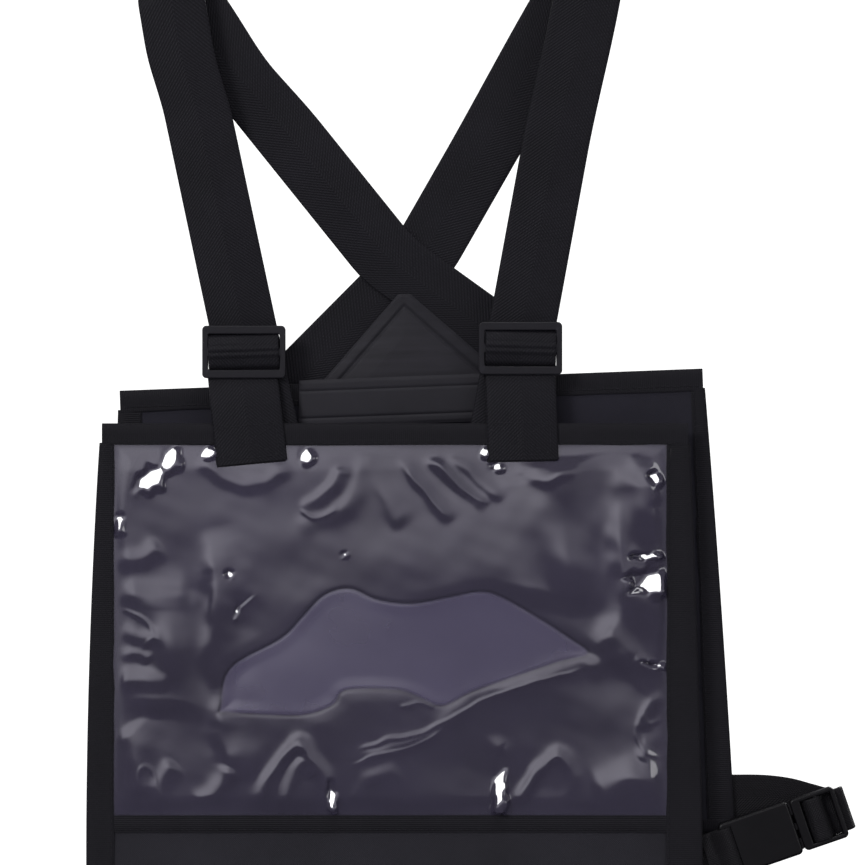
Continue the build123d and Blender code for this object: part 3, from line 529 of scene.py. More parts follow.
def binding(name, point, edge, inner, out_front, out_back, n, seed, wobble=0.00025):
    """Folded tape over an edge. edge(k) and inner(k) give panel points (x, drop) for k from 0 to 1."""
    r = np.random.default_rng(seed)
    ks = np.linspace(0, 1, n)
    e, i = np.array([edge(k) for k in ks]), np.array([inner(k) for k in ks])
    jig = np.interp(ks, np.linspace(0, 1, 19), r.normal(0, wobble, 19))
    along = np.concatenate([[0], np.cumsum(np.linalg.norm(np.diff(e, axis=0), axis=1))])
    # profile: (share of the width from the edge, how far out), outside then inside of the fold
    bulge, turn = 0.00028, 0.012
    mid_out, half = (out_front + out_back) / 2, (out_front - out_back) / 2
    prof = [(1.0, out_back), (0.55, out_back), (0.1, out_back)]
    for a in np.linspace(-math.pi / 2, math.pi / 2, 7):
        prof.append((-0.0 - half * 0.55 * math.cos(a) / turn, mid_out + half * math.sin(a)))
    prof += [(0.06, out_front + bulge), (0.3, out_front + bulge * 1.3), (0.6, out_front + bulge)]
    prof += [(0.82, out_front + bulge * 0.1), (0.93, out_front + bulge * 0.8), (1.0, out_front)]
    prof += [(k, out_front - BIND_T) for k in (1.0, 0.5, 0.04)]
    prof += [(k, out_back + BIND_T) for k in (0.04, 0.5, 1.0)]
    prof = np.array(prof)
    share = prof[None, :, 0] + 0 * ks[:, None]
    inner_jig = (jig[:, None] * (share > 0.7))[..., None]
    width = np.linalg.norm(i - e, axis=1)
    scaled = share * np.where(share < 0, turn / width[:, None], 1.0)
    at = e[:, None] + (i - e)[:, None] * scaled[..., None] + ((i - e) / width[:, None])[:, None] * inner_jig
    pts = point(at[..., 0], at[..., 1], prof[None, :, 1] + 0 * scaled)
    uv = np.stack([share * width[:, None] + prof[None, :, 1] * 2, along[:, None] + 0 * share], -1)
    return loft(name, pts, uv, BINDING, sharp=60)


def seam(point, line, out, n=90):
    """A line of panel points (x, drop), in the row frame, for stitches."""
    ks = np.linspace(0, 1, n)
    xy = np.array([line(k) for k in ks])
    return point(xy[:, 0], xy[:, 1], np.full(n, out))


def lerp(a, b):
    a, b = np.array(a, float), np.array(b, float)
    return lambda k: a + (b - a) * k


def bowed(side):
    """A panel's outer edge from under the top binding to the foot, as (x, drop)."""

    def at_share(k):
        drop = BIND_W - 0.002 + (PANEL_H - 0.001 - BIND_W) * k
        return np.array((side * (half_width(drop) + bow(drop, side)), drop))

    return at_share


# ---------------------------------------------------------------- the clear sheet's wrinkles
# Places on a panel are (x, drop) in metres: across from its middle, and down from its top edge.
CLING = [
    (-0.105, 0.172), (-0.099, 0.146), (-0.0685, 0.128), (-0.0555, 0.115), (-0.0425, 0.102), (-0.027, 0.098),
    (-0.011, 0.1045), (0.0095, 0.107), (0.033, 0.103), (0.051, 0.0998), (0.064, 0.103), (0.085, 0.115),
    (0.103, 0.1266), (0.116, 0.137), (0.098, 0.142), (0.072, 0.151), (0.046, 0.16), (0.028, 0.1685),
    (0.012, 0.162), (-0.001, 0.1586), (-0.0295, 0.159), (-0.037, 0.1675), (-0.053, 0.1735), (-0.079, 0.1735),
]


def to_line(x, z, points):
    """Distance to a chain of points, which side of it, and how far along it, 0 to 1."""
    pts = np.array(points, float)
    size = np.linalg.norm(np.diff(pts, axis=0), axis=1)
    start = np.concatenate([[0], np.cumsum(size)])
    best = np.full(np.shape(x), 9.0)
    along = np.zeros(np.shape(x))
    side = np.zeros(np.shape(x))
    for i in range(len(size)):
        (ax, az), (bx, bz) = pts[i], pts[i + 1]
        ux, uz = (bx - ax) / size[i], (bz - az) / size[i]
        t = (x - ax) * ux + (z - az) * uz
        c = np.clip(t, 0, size[i])
        d = np.hypot(x - ax - ux * c, z - az - uz * c)
        near = d < best
        over = np.where((t < 0) & (i == 0) | (t > size[i]) & (i == len(size) - 1), t - c, 0)
        best = np.where(near, d, best)
        along = np.where(near, (start[i] + c + over) / start[-1], along)
        side = np.where(near, -(x - ax) * uz + (z - az) * ux, side)
    return best, side, along


def fold(x, z, points, left, right, height, fade=0.16):
    """A soft fold along a line, with its own width on each side, fading at both ends."""
    d, side, along = to_line(x, z, catmull(points, 5))
    share = smooth(side / (0.5 * (left + right)) + 0.5)
    width = right * share + left * (1 - share)
    ends = smooth(along / fade + 0.15) * smooth((1 - along) / fade + 0.15)
    return height * ends * np.exp(-((d / width) ** 2))


def patch_edge(x, z):
    """How far inside the area where the sheet clings to the cloth behind it, in metres."""
    pts = catmull(CLING + CLING[:1], 5)
    d, _, _ = to_line(x, z, pts)
    inside = np.zeros(np.shape(x), bool)
    for (ax, az), (bx, bz) in zip(pts[:-1], pts[1:]):
        crosses = (az > z) != (bz > z)
        if az != bz:
            inside ^= crosses & (x < (bx - ax) * (z - az) / (bz - az) + ax)
    return np.where(inside, d, -d)


def value_noise(x, z, scale, seed):
    """Smooth noise from seeded sines, about -1 to 1."""
    r = np.random.default_rng(seed)
    total = 0
    for _ in range(9):
        a = r.uniform(0, 2 * math.pi)
        f = scale * r.uniform(0.6, 1.6)
        total = total + np.sin(f * (x * math.cos(a) + z * math.sin(a)) + r.uniform(0, 6.28))
    return total / 4.5


def flash(h, x, z, centre, rx, rz, angle=0.0):
    """Sets a small flat spot turned to the key light into the relief, where the sheet flashes white."""
    here = np.array((centre[0], 0.0, FRONT_TOP - centre[1]))
    to_eye, to_light = CAMERA - here, KEY_LIGHT - here
    half = to_eye / np.linalg.norm(to_eye) + to_light / np.linalg.norm(to_light)
    gx, gz = half[0] / half[1], -half[2] / half[1]
    c, s = math.cos(math.radians(angle)), math.sin(math.radians(angle))
    dx, dz = x - centre[0], z - centre[1]
    ragged = 1 + 0.22 * value_noise(x, z, 520, int(1e4 * (centre[0] + 1)))
    r = np.hypot((dx * c + dz * s) / rx, (-dx * s + dz * c) / rz) * ragged
    share = smooth((2.15 - r) / 1.05)
    spot = 0.0007 + gx * dx + gz * dz + math.hypot(gx * rx, gz * rz) * 0.6
    return h * (1 - share) + share * spot


# A fold: its line, its width on the two sides of the line, its height.
FOLDS = [
    # the upright fold on the right and the long one that sweeps down from its foot
    ([(0.137, 0.02), (0.139, 0.06), (0.139, 0.1), (0.135, 0.124), (0.122, 0.138)], 0.017, 0.007, 0.009),
    ([(0.094, 0.018), (0.101, 0.045), (0.103, 0.08), (0.098, 0.112)], 0.012, 0.02, 0.0064),
    ([(0.122, 0.139), (0.096, 0.1475), (0.068, 0.159), (0.04, 0.169), (0.022, 0.182)], 0.005, 0.0034, 0.0014),
    ([(0.06, 0.165), (0.036, 0.179), (0.008, 0.189), (-0.024, 0.1985)], 0.0036, 0.0026, 0.0012),
    ([(0.15, 0.132), (0.134, 0.139), (0.112, 0.147)], 0.005, 0.004, 0.0014),
    # the upright fold on the left
    ([(-0.112, 0.066), (-0.105, 0.094), (-0.107, 0.13), (-0.101, 0.158), (-0.103, 0.182), (-0.095, 0.214)],
     0.011, 0.0052, 0.0066),
    ([(-0.139, 0.1), (-0.136, 0.14), (-0.139, 0.176)], 0.01, 0.011, 0.005),
    # folds that hang from the top edge
    ([(-0.029, 0.022), (-0.039, 0.039), (-0.056, 0.052)], 0.0042, 0.0026, 0.0021),
    ([(-0.018, 0.014), (-0.0215, 0.036), (-0.033, 0.052), (-0.06, 0.061)], 0.0044, 0.0032, 0.0016),
    ([(0.004, 0.018), (0.014, 0.036), (0.031, 0.058)], 0.004, 0.0024, 0.002),
    ([(0.019, 0.016), (0.034, 0.032), (0.055, 0.052)], 0.0036, 0.0024, 0.0022),
    ([(0.03, 0.014), (0.048, 0.03), (0.064, 0.047)], 0.0036, 0.0026, 0.0018),
    ([(-0.013, 0.015), (-0.01, 0.04), (0.006, 0.062)], 0.006, 0.0034, 0.0013),
    ([(-0.118, 0.02), (-0.1, 0.033), (-0.078, 0.034), (-0.064, 0.024)], 0.004, 0.003, 0.002),
    ([(0.072, 0.024), (0.088, 0.032), (0.108, 0.022)], 0.004, 0.003, 0.0016),
    ([(0.14, 0.018), (0.152, 0.03), (0.16, 0.048)], 0.0046, 0.0034, 0.0018),
    # folds in from the left border
    ([(-0.169, 0.081), (-0.152, 0.078), (-0.14, 0.071)], 0.004, 0.004, 0.0021),
    ([(-0.169, 0.103), (-0.148, 0.103), (-0.124, 0.1)], 0.006, 0.005, 0.0026),
    ([(-0.166, 0.124), (-0.152, 0.128), (-0.14, 0.125)], 0.003, 0.003, 0.0014),
    ([(-0.166, 0.138), (-0.154, 0.136), (-0.146, 0.141)], 0.0028, 0.0028, 0.0014),
    ([(-0.167, 0.154), (-0.15, 0.153), (-0.134, 0.157)], 0.0042, 0.004, 0.0022),
    ([(-0.162, 0.178), (-0.154, 0.196), (-0.15, 0.224)], 0.0064, 0.005, 0.0036),
    # folds in from the pocket's mouth
    ([(0.163, 0.076), (0.15, 0.078), (0.141, 0.075)], 0.0032, 0.003, 0.0018),
    ([(0.163, 0.145), (0.152, 0.144), (0.143, 0.138)], 0.003, 0.0026, 0.0018),
    ([(0.163, 0.164), (0.153, 0.172), (0.148, 0.184)], 0.0034, 0.0028, 0.0019),
    ([(0.163, 0.186), (0.153, 0.19), (0.146, 0.2)], 0.0034, 0.003, 0.0018),
    ([(0.163, 0.212), (0.144, 0.211), (0.12, 0.221)], 0.009, 0.007, 0.004),
    # arches that stand on the band below
    ([(-0.084, 0.233), (-0.073, 0.209), (-0.056, 0.191), (-0.044, 0.21), (-0.04, 0.232)],
     0.0034, 0.0028, 0.0036),
    ([(-0.066, 0.231), (-0.06, 0.214), (-0.053, 0.203), (-0.049, 0.214)], 0.003, 0.0022, 0.003),
    ([(0.072, 0.232), (0.083, 0.211), (0.096, 0.199), (0.105, 0.212), (0.103, 0.231)],
     0.0034, 0.0028, 0.0036),
    ([(0.06, 0.186), (0.063, 0.21), (0.062, 0.231)], 0.004, 0.0036, 0.002),
    ([(-0.143, 0.231), (-0.139, 0.216), (-0.13, 0.204)], 0.0036, 0.003, 0.003),
    ([(-0.118, 0.231), (-0.106, 0.222), (-0.098, 0.206)], 0.005, 0.0036, 0.0034),
    ([(-0.024, 0.231), (-0.016, 0.214), (0.004, 0.206)], 0.005, 0.0044, 0.0012),
]
# A crease: its line. All are alike, narrow and low.
CREASES = [
    [(0.112, 0.1465), (0.088, 0.1525), (0.064, 0.163), (0.05, 0.169)],
    [(0.058, 0.164), (0.04, 0.1735), (0.014, 0.1835), (-0.006, 0.188), (-0.022, 0.1935)],
    [(0.03, 0.183), (0.008, 0.192), (-0.014, 0.1975), (-0.026, 0.203)],
    [(0.002, 0.17), (0.012, 0.1665), (0.022, 0.169)],
    [(-0.034, 0.05), (-0.046, 0.056), (-0.056, 0.051)],
    [(0.008, 0.026), (0.018, 0.042), (0.03, 0.056)],
    [(0.022, 0.018), (0.04, 0.038), (0.056, 0.05)],
    [(-0.074, 0.226), (-0.066, 0.206), (-0.055, 0.1925), (-0.047, 0.206)],
    [(0.078, 0.226), (0.088, 0.208), (0.097, 0.199), (0.104, 0.208)],
    [(0.15, 0.17), (0.1445, 0.186), (0.15, 0.196), (0.16, 0.199)],
    [(0.158, 0.164), (0.15, 0.172), (0.152, 0.18), (0.161, 0.176)],
    [(-0.154, 0.224), (-0.15, 0.206), (-0.143, 0.21), (-0.141, 0.226)],
    [(-0.166, 0.113), (-0.152, 0.118), (-0.146, 0.126), (-0.152, 0.133)],
]
# A flash: its middle, its two half-sizes, its turn in degrees.
FLASHES = [
    ((-0.1455, 0.0325), 0.0062, 0.004, -35), ((-0.1345, 0.0205), 0.0036, 0.005, 15),
    ((-0.1115, 0.0165), 0.003, 0.003, 0), ((-0.053, 0.019), 0.003, 0.0032, 0),
    ((0.054, 0.0165), 0.0022, 0.0024, 0), ((0.062, 0.0255), 0.0024, 0.0018, 20),
    ((-0.1655, 0.059), 0.002, 0.0042, 5), ((0.1545, 0.095), 0.0078, 0.0046, 10),
    ((0.151, 0.079), 0.005, 0.0014, 0), ((0.16, 0.1445), 0.006, 0.001, 12),
    ((0.063, 0.218), 0.0026, 0.0115, 0), ((-0.0375, 0.2235), 0.002, 0.0056, -8),
    ((-0.099, 0.089), 0.0018, 0.0014, 0), ((-0.03, 0.0775), 0.0014, 0.0012, 0),
    ((-0.09, 0.107), 0.004, 0.0009, -40), ((-0.095, 0.113), 0.001, 0.0032, 10),
    ((0.156, 0.032), 0.0034, 0.0022, 30),
]
FOLD_H, FOLD_W = 0.36, 1.35  # how much lower and wider than listed the folds are made


def wrinkles(x, z, flashes):
    """How far the clear sheet stands off the cloth at a panel place (x, drop)."""
    h = 0.0012 + 0.00070 * value_noise(x, z, 42, 3) + 0.00018 * value_noise(x, z, 120, 5)
    h += 0.00003 * value_noise(x, z, 330, 8)
    wx = x + 0.0022 * value_noise(x, z, 95, 31) + 0.0006 * value_noise(x, z, 300, 32)
    wz = z + 0.0022 * value_noise(x, z, 95, 33) + 0.0006 * value_noise(x, z, 300, 34)
    uneven = 0.85 + 0.45 * value_noise(x, z, 140, 35)
    for points, left, right, height in FOLDS:
        h += uneven * fold(wx, wz, points, left * FOLD_W, right * FOLD_W, height * FOLD_H)
    for points in CREASES:
        h += fold(wx, wz, points, 0.0013, 0.0009, 0.00030)
    # the sheet dips where it lets go of the cloth, and lies flatter inside
    inside = patch_edge(x, z)
    cling = smooth(inside / 0.0180 + 0.5)
    h = h * (1 - 0.72 * cling) + 0.0006 * cling * (1 + 0.8 * value_noise(x, z, 40, 21))
    h -= 0.00012 * np.exp(-((inside / 0.0011) ** 2))
    h = 0.5 * (h + np.sqrt(h * h + 0.0003 ** 2))  # eases up from the cloth instead of stopping at it
    # held down under the borders and the band
    from_top, from_band = z - BIND_W + 0.0008, BAND_TOP - z
    edge = np.minimum.reduce([x + EDGE_X, MOUTH_X - x, from_top, from_band])
    foot = smooth(from_band / 0.012) * smooth(from_top / 0.016)
    reach = 0.0105 * (1 + 0.45 * value_noise(x, z, 55, 41))
    h = h * smooth(edge / reach) * (0.35 + 0.65 * foot)
    for centre, rx, rz, angle in flashes:
        h = flash(h, x, z, centre, rx, rz, angle)
    return np.clip(h * smooth(edge / 0.0025), 0.0, 0.0058)


# how far from the middle of the cloth: the clear sheet, and the binding on each side of the panel
OUT_CLEAR = FABRIC_T / 2 + 0.0001 + CLEAR_T / 2
OUT_BIND = FABRIC_T / 2 + CLEAR_T + 0.00015 + BIND_T
BACK_OUT = FABRIC_T / 2 + 0.00005 + BIND_T


def clear_sheet(name, point, side, node, body, mat, nx, nz):
    """The pocket's clear face. side is 1 on the front panel's front and -1 on the back panel's rear."""
    flashes = FLASHES if side > 0 else ()

    def mid(x, z):
        return point(x * side, z, side * (OUT_CLEAR + wrinkles(x, z, flashes)))

    xs = np.linspace(-EDGE_X - 0.004, MOUTH_X + 0.004, nx)
    zs = np.linspace(BAND_TOP + BAND_H - 0.001, 0.002, nz)
    obj = sheet(name, mid, xs, zs, CLEAR_T, mat)
    inside = patch_edge(*np.meshgrid(xs, zs, indexing="ij")).ravel()
    cling, rim = smooth(inside / 0.0010 + 0.5), np.exp(-((inside / 0.0011) ** 2))
    for attr, values in (("cling", cling), ("cling_rim", rim)):
        layer = obj.data.attributes.new(attr, "FLOAT", "POINT")
        layer.data.foreach_set("value", np.tile(values, 2).astype(np.float32))
    declare(obj, body, "clear_sheet", node)


# ---------------------------------------------------------------- the two panels
cloth("front_cloth", front_point, "front_panel", "front", OXFORD)
clear_sheet("front_clear", front_point, 1, "front_window", "front", CLEAR, 340, 240)


def trim(prefix, point, side, edge_x, mouth_x, seed):
    """The four bindings of one panel. side 1: the clear sheet is in front of the cloth."""
    of, ob = (OUT_BIND, -BACK_OUT) if side > 0 else (BACK_OUT, -OUT_BIND)
    # the left border in panel x is -edge_x on the front panel and -mouth_x on the back panel
    top, foot = TOP_HALF + 0.0003, FOOT_HALF + 0.0003
    upper, lower = BIND_W - 0.0006, PANEL_H - FOOT_W + 0.0006
    side_top, side_foot = BIND_W - 0.002, PANEL_H - 0.003
    for k, (part, node, edge, inner, across) in enumerate((
        ("top", "top", lerp((-top, 0), (top, 0)), lerp((-top, upper), (top, upper)), True),
        ("left", "left", bowed(-1), lerp((-edge_x, side_top), (-edge_x, side_foot)), False),
        ("right", "right", bowed(1), lerp((mouth_x, side_top), (mouth_x, side_foot)), False),
        (
            "foot", "bottom", lerp((-foot, PANEL_H), (foot, PANEL_H)),
            lerp((-foot, lower), (foot, lower)), True,
        ),
    )):
        # the bindings across lie over the ends of the side ones
        outs, n = ((of + 0.0002, ob - 0.0001), 160) if across else ((of, ob), 140)
        obj = binding(f"{prefix}_binding_{part}_tape", point, edge, inner, *outs, n, seed + k)
        declare(obj, prefix, "binding_tape", f"{prefix}_binding_{node}")
    return of, ob


F_OUT, _ = trim("front", front_point, 1, EDGE_X, MOUTH_X, 10)
B_OUT, B_BACK = trim("back", back_point, -1, MOUTH_X, EDGE_X, 30)
clear_sheet("back_clear", back_point, -1, "back_window", "back", CLEAR_BACK, 220, 150)
cloth("back_cloth", back_point, "back_panel", "back", LINING)


def band(prefix, point, side, left_x, right_x):
    """The tape sewn over the clear sheet's lower edge, raised where it covers the turned seam."""

    def mid(u, v):
        k = (v - BAND_TOP) / BAND_H
        puff = 0.0005 * np.sin(np.clip(k, 0, 1) * math.pi) + 0.00012 * np.sin(u * 260)
        return point(u, v, side * (FABRIC_T / 2 + CLEAR_T + 0.0002 + BIND_T / 2 + puff))

    xs, zs = np.linspace(-left_x + 0.0003, right_x - 0.0003, 150), np.linspace(BAND_TOP + BAND_H, BAND_TOP, 9)
    obj = sheet(f"{prefix}_band", mid, xs, zs, BIND_T, BINDING)
    declare(obj, prefix, "binding_tape", f"{prefix}_window_band")


band("front", front_point, 1, EDGE_X, MOUTH_X)
band("back", back_point, -1, MOUTH_X, EDGE_X)

# ---------------------------------------------------------------- shoulder straps


def straight(angle_from_vertical):
    a = math.radians(angle_from_vertical)
    return np.array((math.sin(a), -math.cos(a)))


def dipping(angle, side):
    a = math.radians(angle)
    return np.array((side * math.cos(a), -math.sin(a)))


def cross2(a, b):
    return a[0] * b[1] - a[1] * b[0]


def meet(p, d, q, e):
    return p + d * (cross2(q - p, e) / cross2(d, e))


# ref, down: a place on the front run and its direction; back_ref, back: the same for the back run;
# spread: where the easing near the shoulder starts, over what height, and how far it moves
# each layer in x, and in z
LEFT = dict(
    ref=np.array((-0.0921, -0.210)), down=straight(12.0), back_ref=np.array((-0.042, -0.126)),
    back=dipping(51.2, 1), y_back=0.00725, kink=15.5, spread=(-0.090, 0.045, -0.0030, -0.0030, 0.0085),
)
RIGHT = dict(
    ref=np.array((0.0771, -0.210)), down=straight(-10.4), back_ref=np.array((0.036, -0.138)),
    back=dipping(60.2, -1), y_back=0.0090, kink=-15.0, spread=(-0.110, 0.090, 0.0027, -0.0015, 0.0),
)
STRAP_Y = mid_of("strap_left_front")[1]
CROSSING = meet(LEFT["back_ref"], LEFT["back"], RIGHT["back_ref"], RIGHT["back"])


def strap_surface(k, sway, seed):
    """mid(s, t) of one shoulder strap from its tail, up the front, over the fold and down the back.

    The strap is one flat ribbon. It is laid out flat in the front plane first, and what lies past the
    fold's first tangent is wrapped round the fold's cylinder and then lies in the back plane."""
    radius = (k["y_back"] - STRAP_Y) / 2
    axis_y = (k["y_back"] + STRAP_Y) / 2
    peak = meet(k["ref"], k["down"], k["back_ref"], k["back"])
    c = k["back"] - k["down"]  # along the fold
    c = c / np.linalg.norm(c)
    if c[0] < 0:
        c = -c
    n = np.array((-c[1], c[0]))  # up across the fold
    upward = -k["down"]
    axis = peak - n * math.pi * radius / 2  # the cylinder's axis lies below the flat crease
    start = np.array((k["ref"][0] + k["down"][0] * (TAIL_Z - k["ref"][1]) / k["down"][1], TAIL_Z))
    side_dir = np.array((upward[1], -upward[0]))
    to_fold = ((axis - start) @ n) / (upward @ n)  # along the strap to the fold's first tangent
    wrap = math.pi * radius / (upward @ n)
    to_cross = np.linalg.norm(CROSSING - peak) + to_fold + wrap * 0.5
    kink = math.radians(k["kink"])
    kink_dir = np.sign(kink) * np.array((-k["back"][1], k["back"][0]))
    ease = 0.012
    bend_at = to_cross - 0.018
    spread_from, spread_over, front_x, back_x, rise = k["spread"]

    def calm_between(s, first, last):
        return np.clip((last - s) / 0.05, 0, 1) * np.clip((s - first) / 0.05, 0, 1)

    def mid(s, t):
        # flat layout
        px = start[0] + upward[0] * s + side_dir[0] * t
        pz = start[1] + upward[1] * s + side_dir[1] * t
        a = (px - axis[0]) * n[0] + (pz - axis[1]) * n[1]
        b = (px - axis[0]) * c[0] + (pz - axis[1]) * c[1]
        th = np.clip(a / radius, 0, math.pi)
        height = np.where(a <= 0, a, radius * np.sin(th))
        height = np.where(a > math.pi * radius, -(a - math.pi * radius), height)
        y = axis_y - radius * np.cos(th)
        x = axis[0] + b * c[0] + height * n[0]
        z = axis[1] + b * c[1] + height * n[1]
        # the sewn turn at the crossing, as an easy bend in the ribbon's own plane
        past = np.clip(s - (bend_at - ease), 0, None)
        over = np.where(past < 2 * ease, past * past / (4 * ease), past - ease)
        shear = math.tan(abs(kink)) * over
        x = x + kink_dir[0] * shear
        z = z + kink_dir[1] * shear
        # near the shoulder the webbing eases outwards and the two layers spread a little
        layer = np.clip((axis_y + radius - y) / (2 * radius), 0, 1)
        x = x + smooth((z - spread_from) / spread_over) * (front_x * layer + back_x * (1 - layer))
        z = z + rise * smooth((z + 0.060) / 0.045)
        # slow ripples on the two runs, none at the fold, the crossing or the adjuster
        calm = calm_between(s, 0.17, to_fold)
        ripple = 0.5 + 0.5 * np.sin(s * 34 + seed)
        y = y - sway * calm * ripple - 0.25 * sway * calm * np.sin(t * 60 + s * 22)
        calm = calm_between(s, to_fold + wrap + 0.03, to_cross - 0.03)
        ripple = 0.5 + 0.5 * np.sin(s * 29 + seed)
        y = y + sway * calm * ripple + 0.2 * sway * calm * np.sin(t * 70 + s * 18)
        return np.stack([x, y, z], -1)

    return mid, to_fold, to_fold + wrap, to_cross


def shoulder_strap(side, k, low_end, sway, seed):
    """One strap as one ribbon, low_end metres longer than to the crossing."""
    mid, fold_from, fold_to, to_cross = strap_surface(k, sway, seed)
    cuts = (0, fold_from - 0.012, fold_to + 0.012, to_cross + low_end)
    runs = [np.linspace(a, b, n) for a, b, n in zip(cuts[:-1], cuts[1:], (90, 60, 90))]
    obj = ribbon(f"strap_{side}", mid, np.unique(np.concatenate(runs)), WEB_W, WEB_T, WEBBING, nt=18)
    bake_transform(obj)
    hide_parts(f"strap_{side}_front", f"strap_{side}_back")


TAIL_Z = box("strap_left_front")[0][2]
shoulder_strap("left", LEFT, 0.084, 0.0008, 0.3)
shoulder_strap("right", RIGHT, 0.098, 0.0007, 2.1)

# ---------------------------------------------------------------- adjusters


def adjuster(side, lean, tab_lean):
    """The strap's turn over the centre bar, and the tab that holds the adjuster."""
    body, sign = f"adjuster_{side}", 1 if side == "left" else -1
    g_lo, g_hi = box(f"triglide_{side}")
    w_lo, w_hi = box(f"strap_wrap_{side}")
    d = straight(lean)
    across = np.array((-d[1], 0, d[0] * 0.12))
    along = np.array((-d[0] * 0.15, 0, -d[1]))  # up through the adjuster
    y_back, y_front = w_hi[1] - 0.0004, w_lo[1] + WEB_T / 2
    centre = np.array(((g_lo[0] + g_hi[0]) / 2, 0, (g_lo[2] + g_hi[2]) / 2))
    turn = (
        (0.0132, y_back + 0.0012), (0.0108, y_back + 0.0004), (0.0084, y_back - 0.0022),
        (0.0058, y_front + 0.0011), (0.0028, y_front + 0.0002), (0.0, y_front),
        (-0.0028, y_front + 0.0003), (-0.0056, y_front + 0.0012), (-0.0080, y_back - 0.0024),
        (-0.0102, y_back + 0.0002), (-0.0126, y_back + 0.0010),
    )
    pts = [centre + along * h + FRONT * (-y) - across * (0.0002 * sign) for h, y in turn]
    mid, length = path_surface(pts, across)

    def crumpled(s, t):
        k = np.exp(-(((s - length / 2) / (length * 0.22)) ** 2))
        lines = np.sin((s / length) * 46 + t * 12 * sign)
        return mid(s, t) + FRONT * (0.00028 * lines * k)[..., None]

    wrap = ribbon(f"strap_turn_{side}", crumpled, np.linspace(0, length, 70), WRAP_W, 0.0013, WEBBING, nt=18)
    declare(wrap, body, "webbing", f"strap_wrap_{side}")

    # the tab: up behind the bottom bar and round the centre bar, then down over the panel's top
    t_lo, t_hi = box(f"tab_{side}")
    td = straight(tab_lean)
    t_across, t_up = np.array((-td[1], 0, td[0])), np.array((-td[0], 0, -td[1]))
    face = t_hi[1]
    base = np.array(((t_lo[0] + t_hi[0]) / 2, 0, t_lo[2])) + np.array((0, 0, 0.0004))
    tall = (g_lo[2] - t_lo[2]) / abs(td[1])
    loop_y = box(f"tab_loop_{side}")[1][1] - 0.0006
    run = (
        (0.0, face - 0.0002), (0.012, face - 0.0003), (0.026, face - 0.0002), (0.036, face + 0.0001),
        (tall - 0.007, (face + loop_y) / 2 - 0.0002), (tall - 0.0005, loop_y), (tall + 0.006, loop_y),
    )
    for layer, off, slide, begin, node in (
        ("under", 0.0, 0.0, 0, f"tab_loop_{side}"),
        ("over", -TAB_LAYER, 0.0012, 0.001, f"tab_{side}"),
    ):
        pts = []
        for h, y in run:
            out = y + off * np.clip((tall - 0.001 - h) / 0.01, 0.45, 1)
            aside = slide * np.clip((tall - h) / tall, 0, 1)
            pts.append(base + t_up * h + FRONT * -out + t_across * aside)
        tab_mid, tab_len = path_surface(pts, t_across)

        def draped(s, t, m=tab_mid):
            p = m(s, t)
            p[..., 1] = p[..., 1] - front_wave(p[..., 0], p[..., 2])
            return p

        s_vals = np.linspace(begin, tab_len, 60)
        tab = ribbon(f"tab_{side}_{layer}", draped, s_vals, TAB_W, 0.0012, WEBBING, nt=16)
        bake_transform(tab)
        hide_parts(node)

    # box stitching at the tab's sewn end
    y_top = face - 0.0002 - TAB_LAYER - 0.0007
    hw = TAB_W / 2 - 0.0035
    corners = [(-hw, 0.004), (hw, 0.004), (hw, 0.0235), (-hw, 0.0235)]

    def on_tab(a, h):
        q = base + t_across * a + t_up * h
        q[1] = y_top - front_wave(q[0], q[2])
        return q

    rows = []
    for i, j in ((0, 1), (1, 2), (2, 3), (3, 0), (0, 2), (1, 3)):
        (a0, h0), (a1, h1) = corners[i], corners[j]
        rows.append([on_tab(a0 * (1 - k) + a1 * k, h0 * (1 - k) + h1 * k) for k in np.linspace(0, 1, 12)])
    thread = stitches(f"tab_stitches_{side}", [(row, FRONT) for row in rows], 0.0032, THREAD)
    declare(thread, "front", "webbing")


WRAP_W, TAB_W = 0.0424, 0.0418  # wide enough to fill the adjuster's slots
TAB_LAYER = 0.00125  # how far the tab's outer layer lies in front of its inner one
adjuster("left", 12.0, 5.5)
adjuster("right", -10.4, 1.0)

# ---------------------------------------------------------------- yoke
YOKE_TOP = np.array((0.0055, -0.1940))  # the middle of its blunt top, then its two foot corners, as (x, z)
YOKE_LEFT, YOKE_RIGHT = np.array((-0.0518, -0.2560)), np.array((0.0750, -0.2510))
YOKE_TOP_HALF = 0.0035


def yoke(name, y, side, node, edge_dip):
    """A sewn triangle over the crossing, with a pressed line a little inside its edge."""

    def mid(u, v):
        # v from 0 at the top to 1 at the foot, u from -1 to 1
        lx = (YOKE_TOP[0] - YOKE_TOP_HALF) * (1 - v) + YOKE_LEFT[0] * v
        rx = (YOKE_TOP[0] + YOKE_TOP_HALF) * (1 - v) + YOKE_RIGHT[0] * v
        lz = YOKE_TOP[1] * (1 - v) + YOKE_LEFT[1] * v
        rz = YOKE_TOP[1] * (1 - v) + YOKE_RIGHT[1] * v
        k = (u + 1) / 2
        x, z = lx * (1 - k) + rx * k, lz * (1 - k) + rz * k
        width = rx - lx
        to_edge = np.minimum(k * width * 0.76, (1 - k) * width * 0.64)
        to_edge = np.minimum(to_edge, v * 0.06)
        groove = np.exp(-(((to_edge - 0.0075) / 0.0011) ** 2))
        lip = np.clip(to_edge / 0.0012, 0, 1)
        puff = 0.0009 * lip + 0.0007 * np.clip((to_edge - 0.008) / 0.012, 0, 1) - 0.0009 * groove
        puff = puff + 0.0003 * value_noise(x, z, 60, 11) * np.clip(to_edge / 0.006, 0, 1)
        return np.stack([x, y + side * puff * edge_dip, z], -1)

    obj = sheet(name, mid, np.linspace(-1, 1, 120), np.linspace(1, 0, 90), 0.0006, SATIN)
    scale_uv(obj, 0.05)
    declare(obj, "back", "yoke_fabric", node)


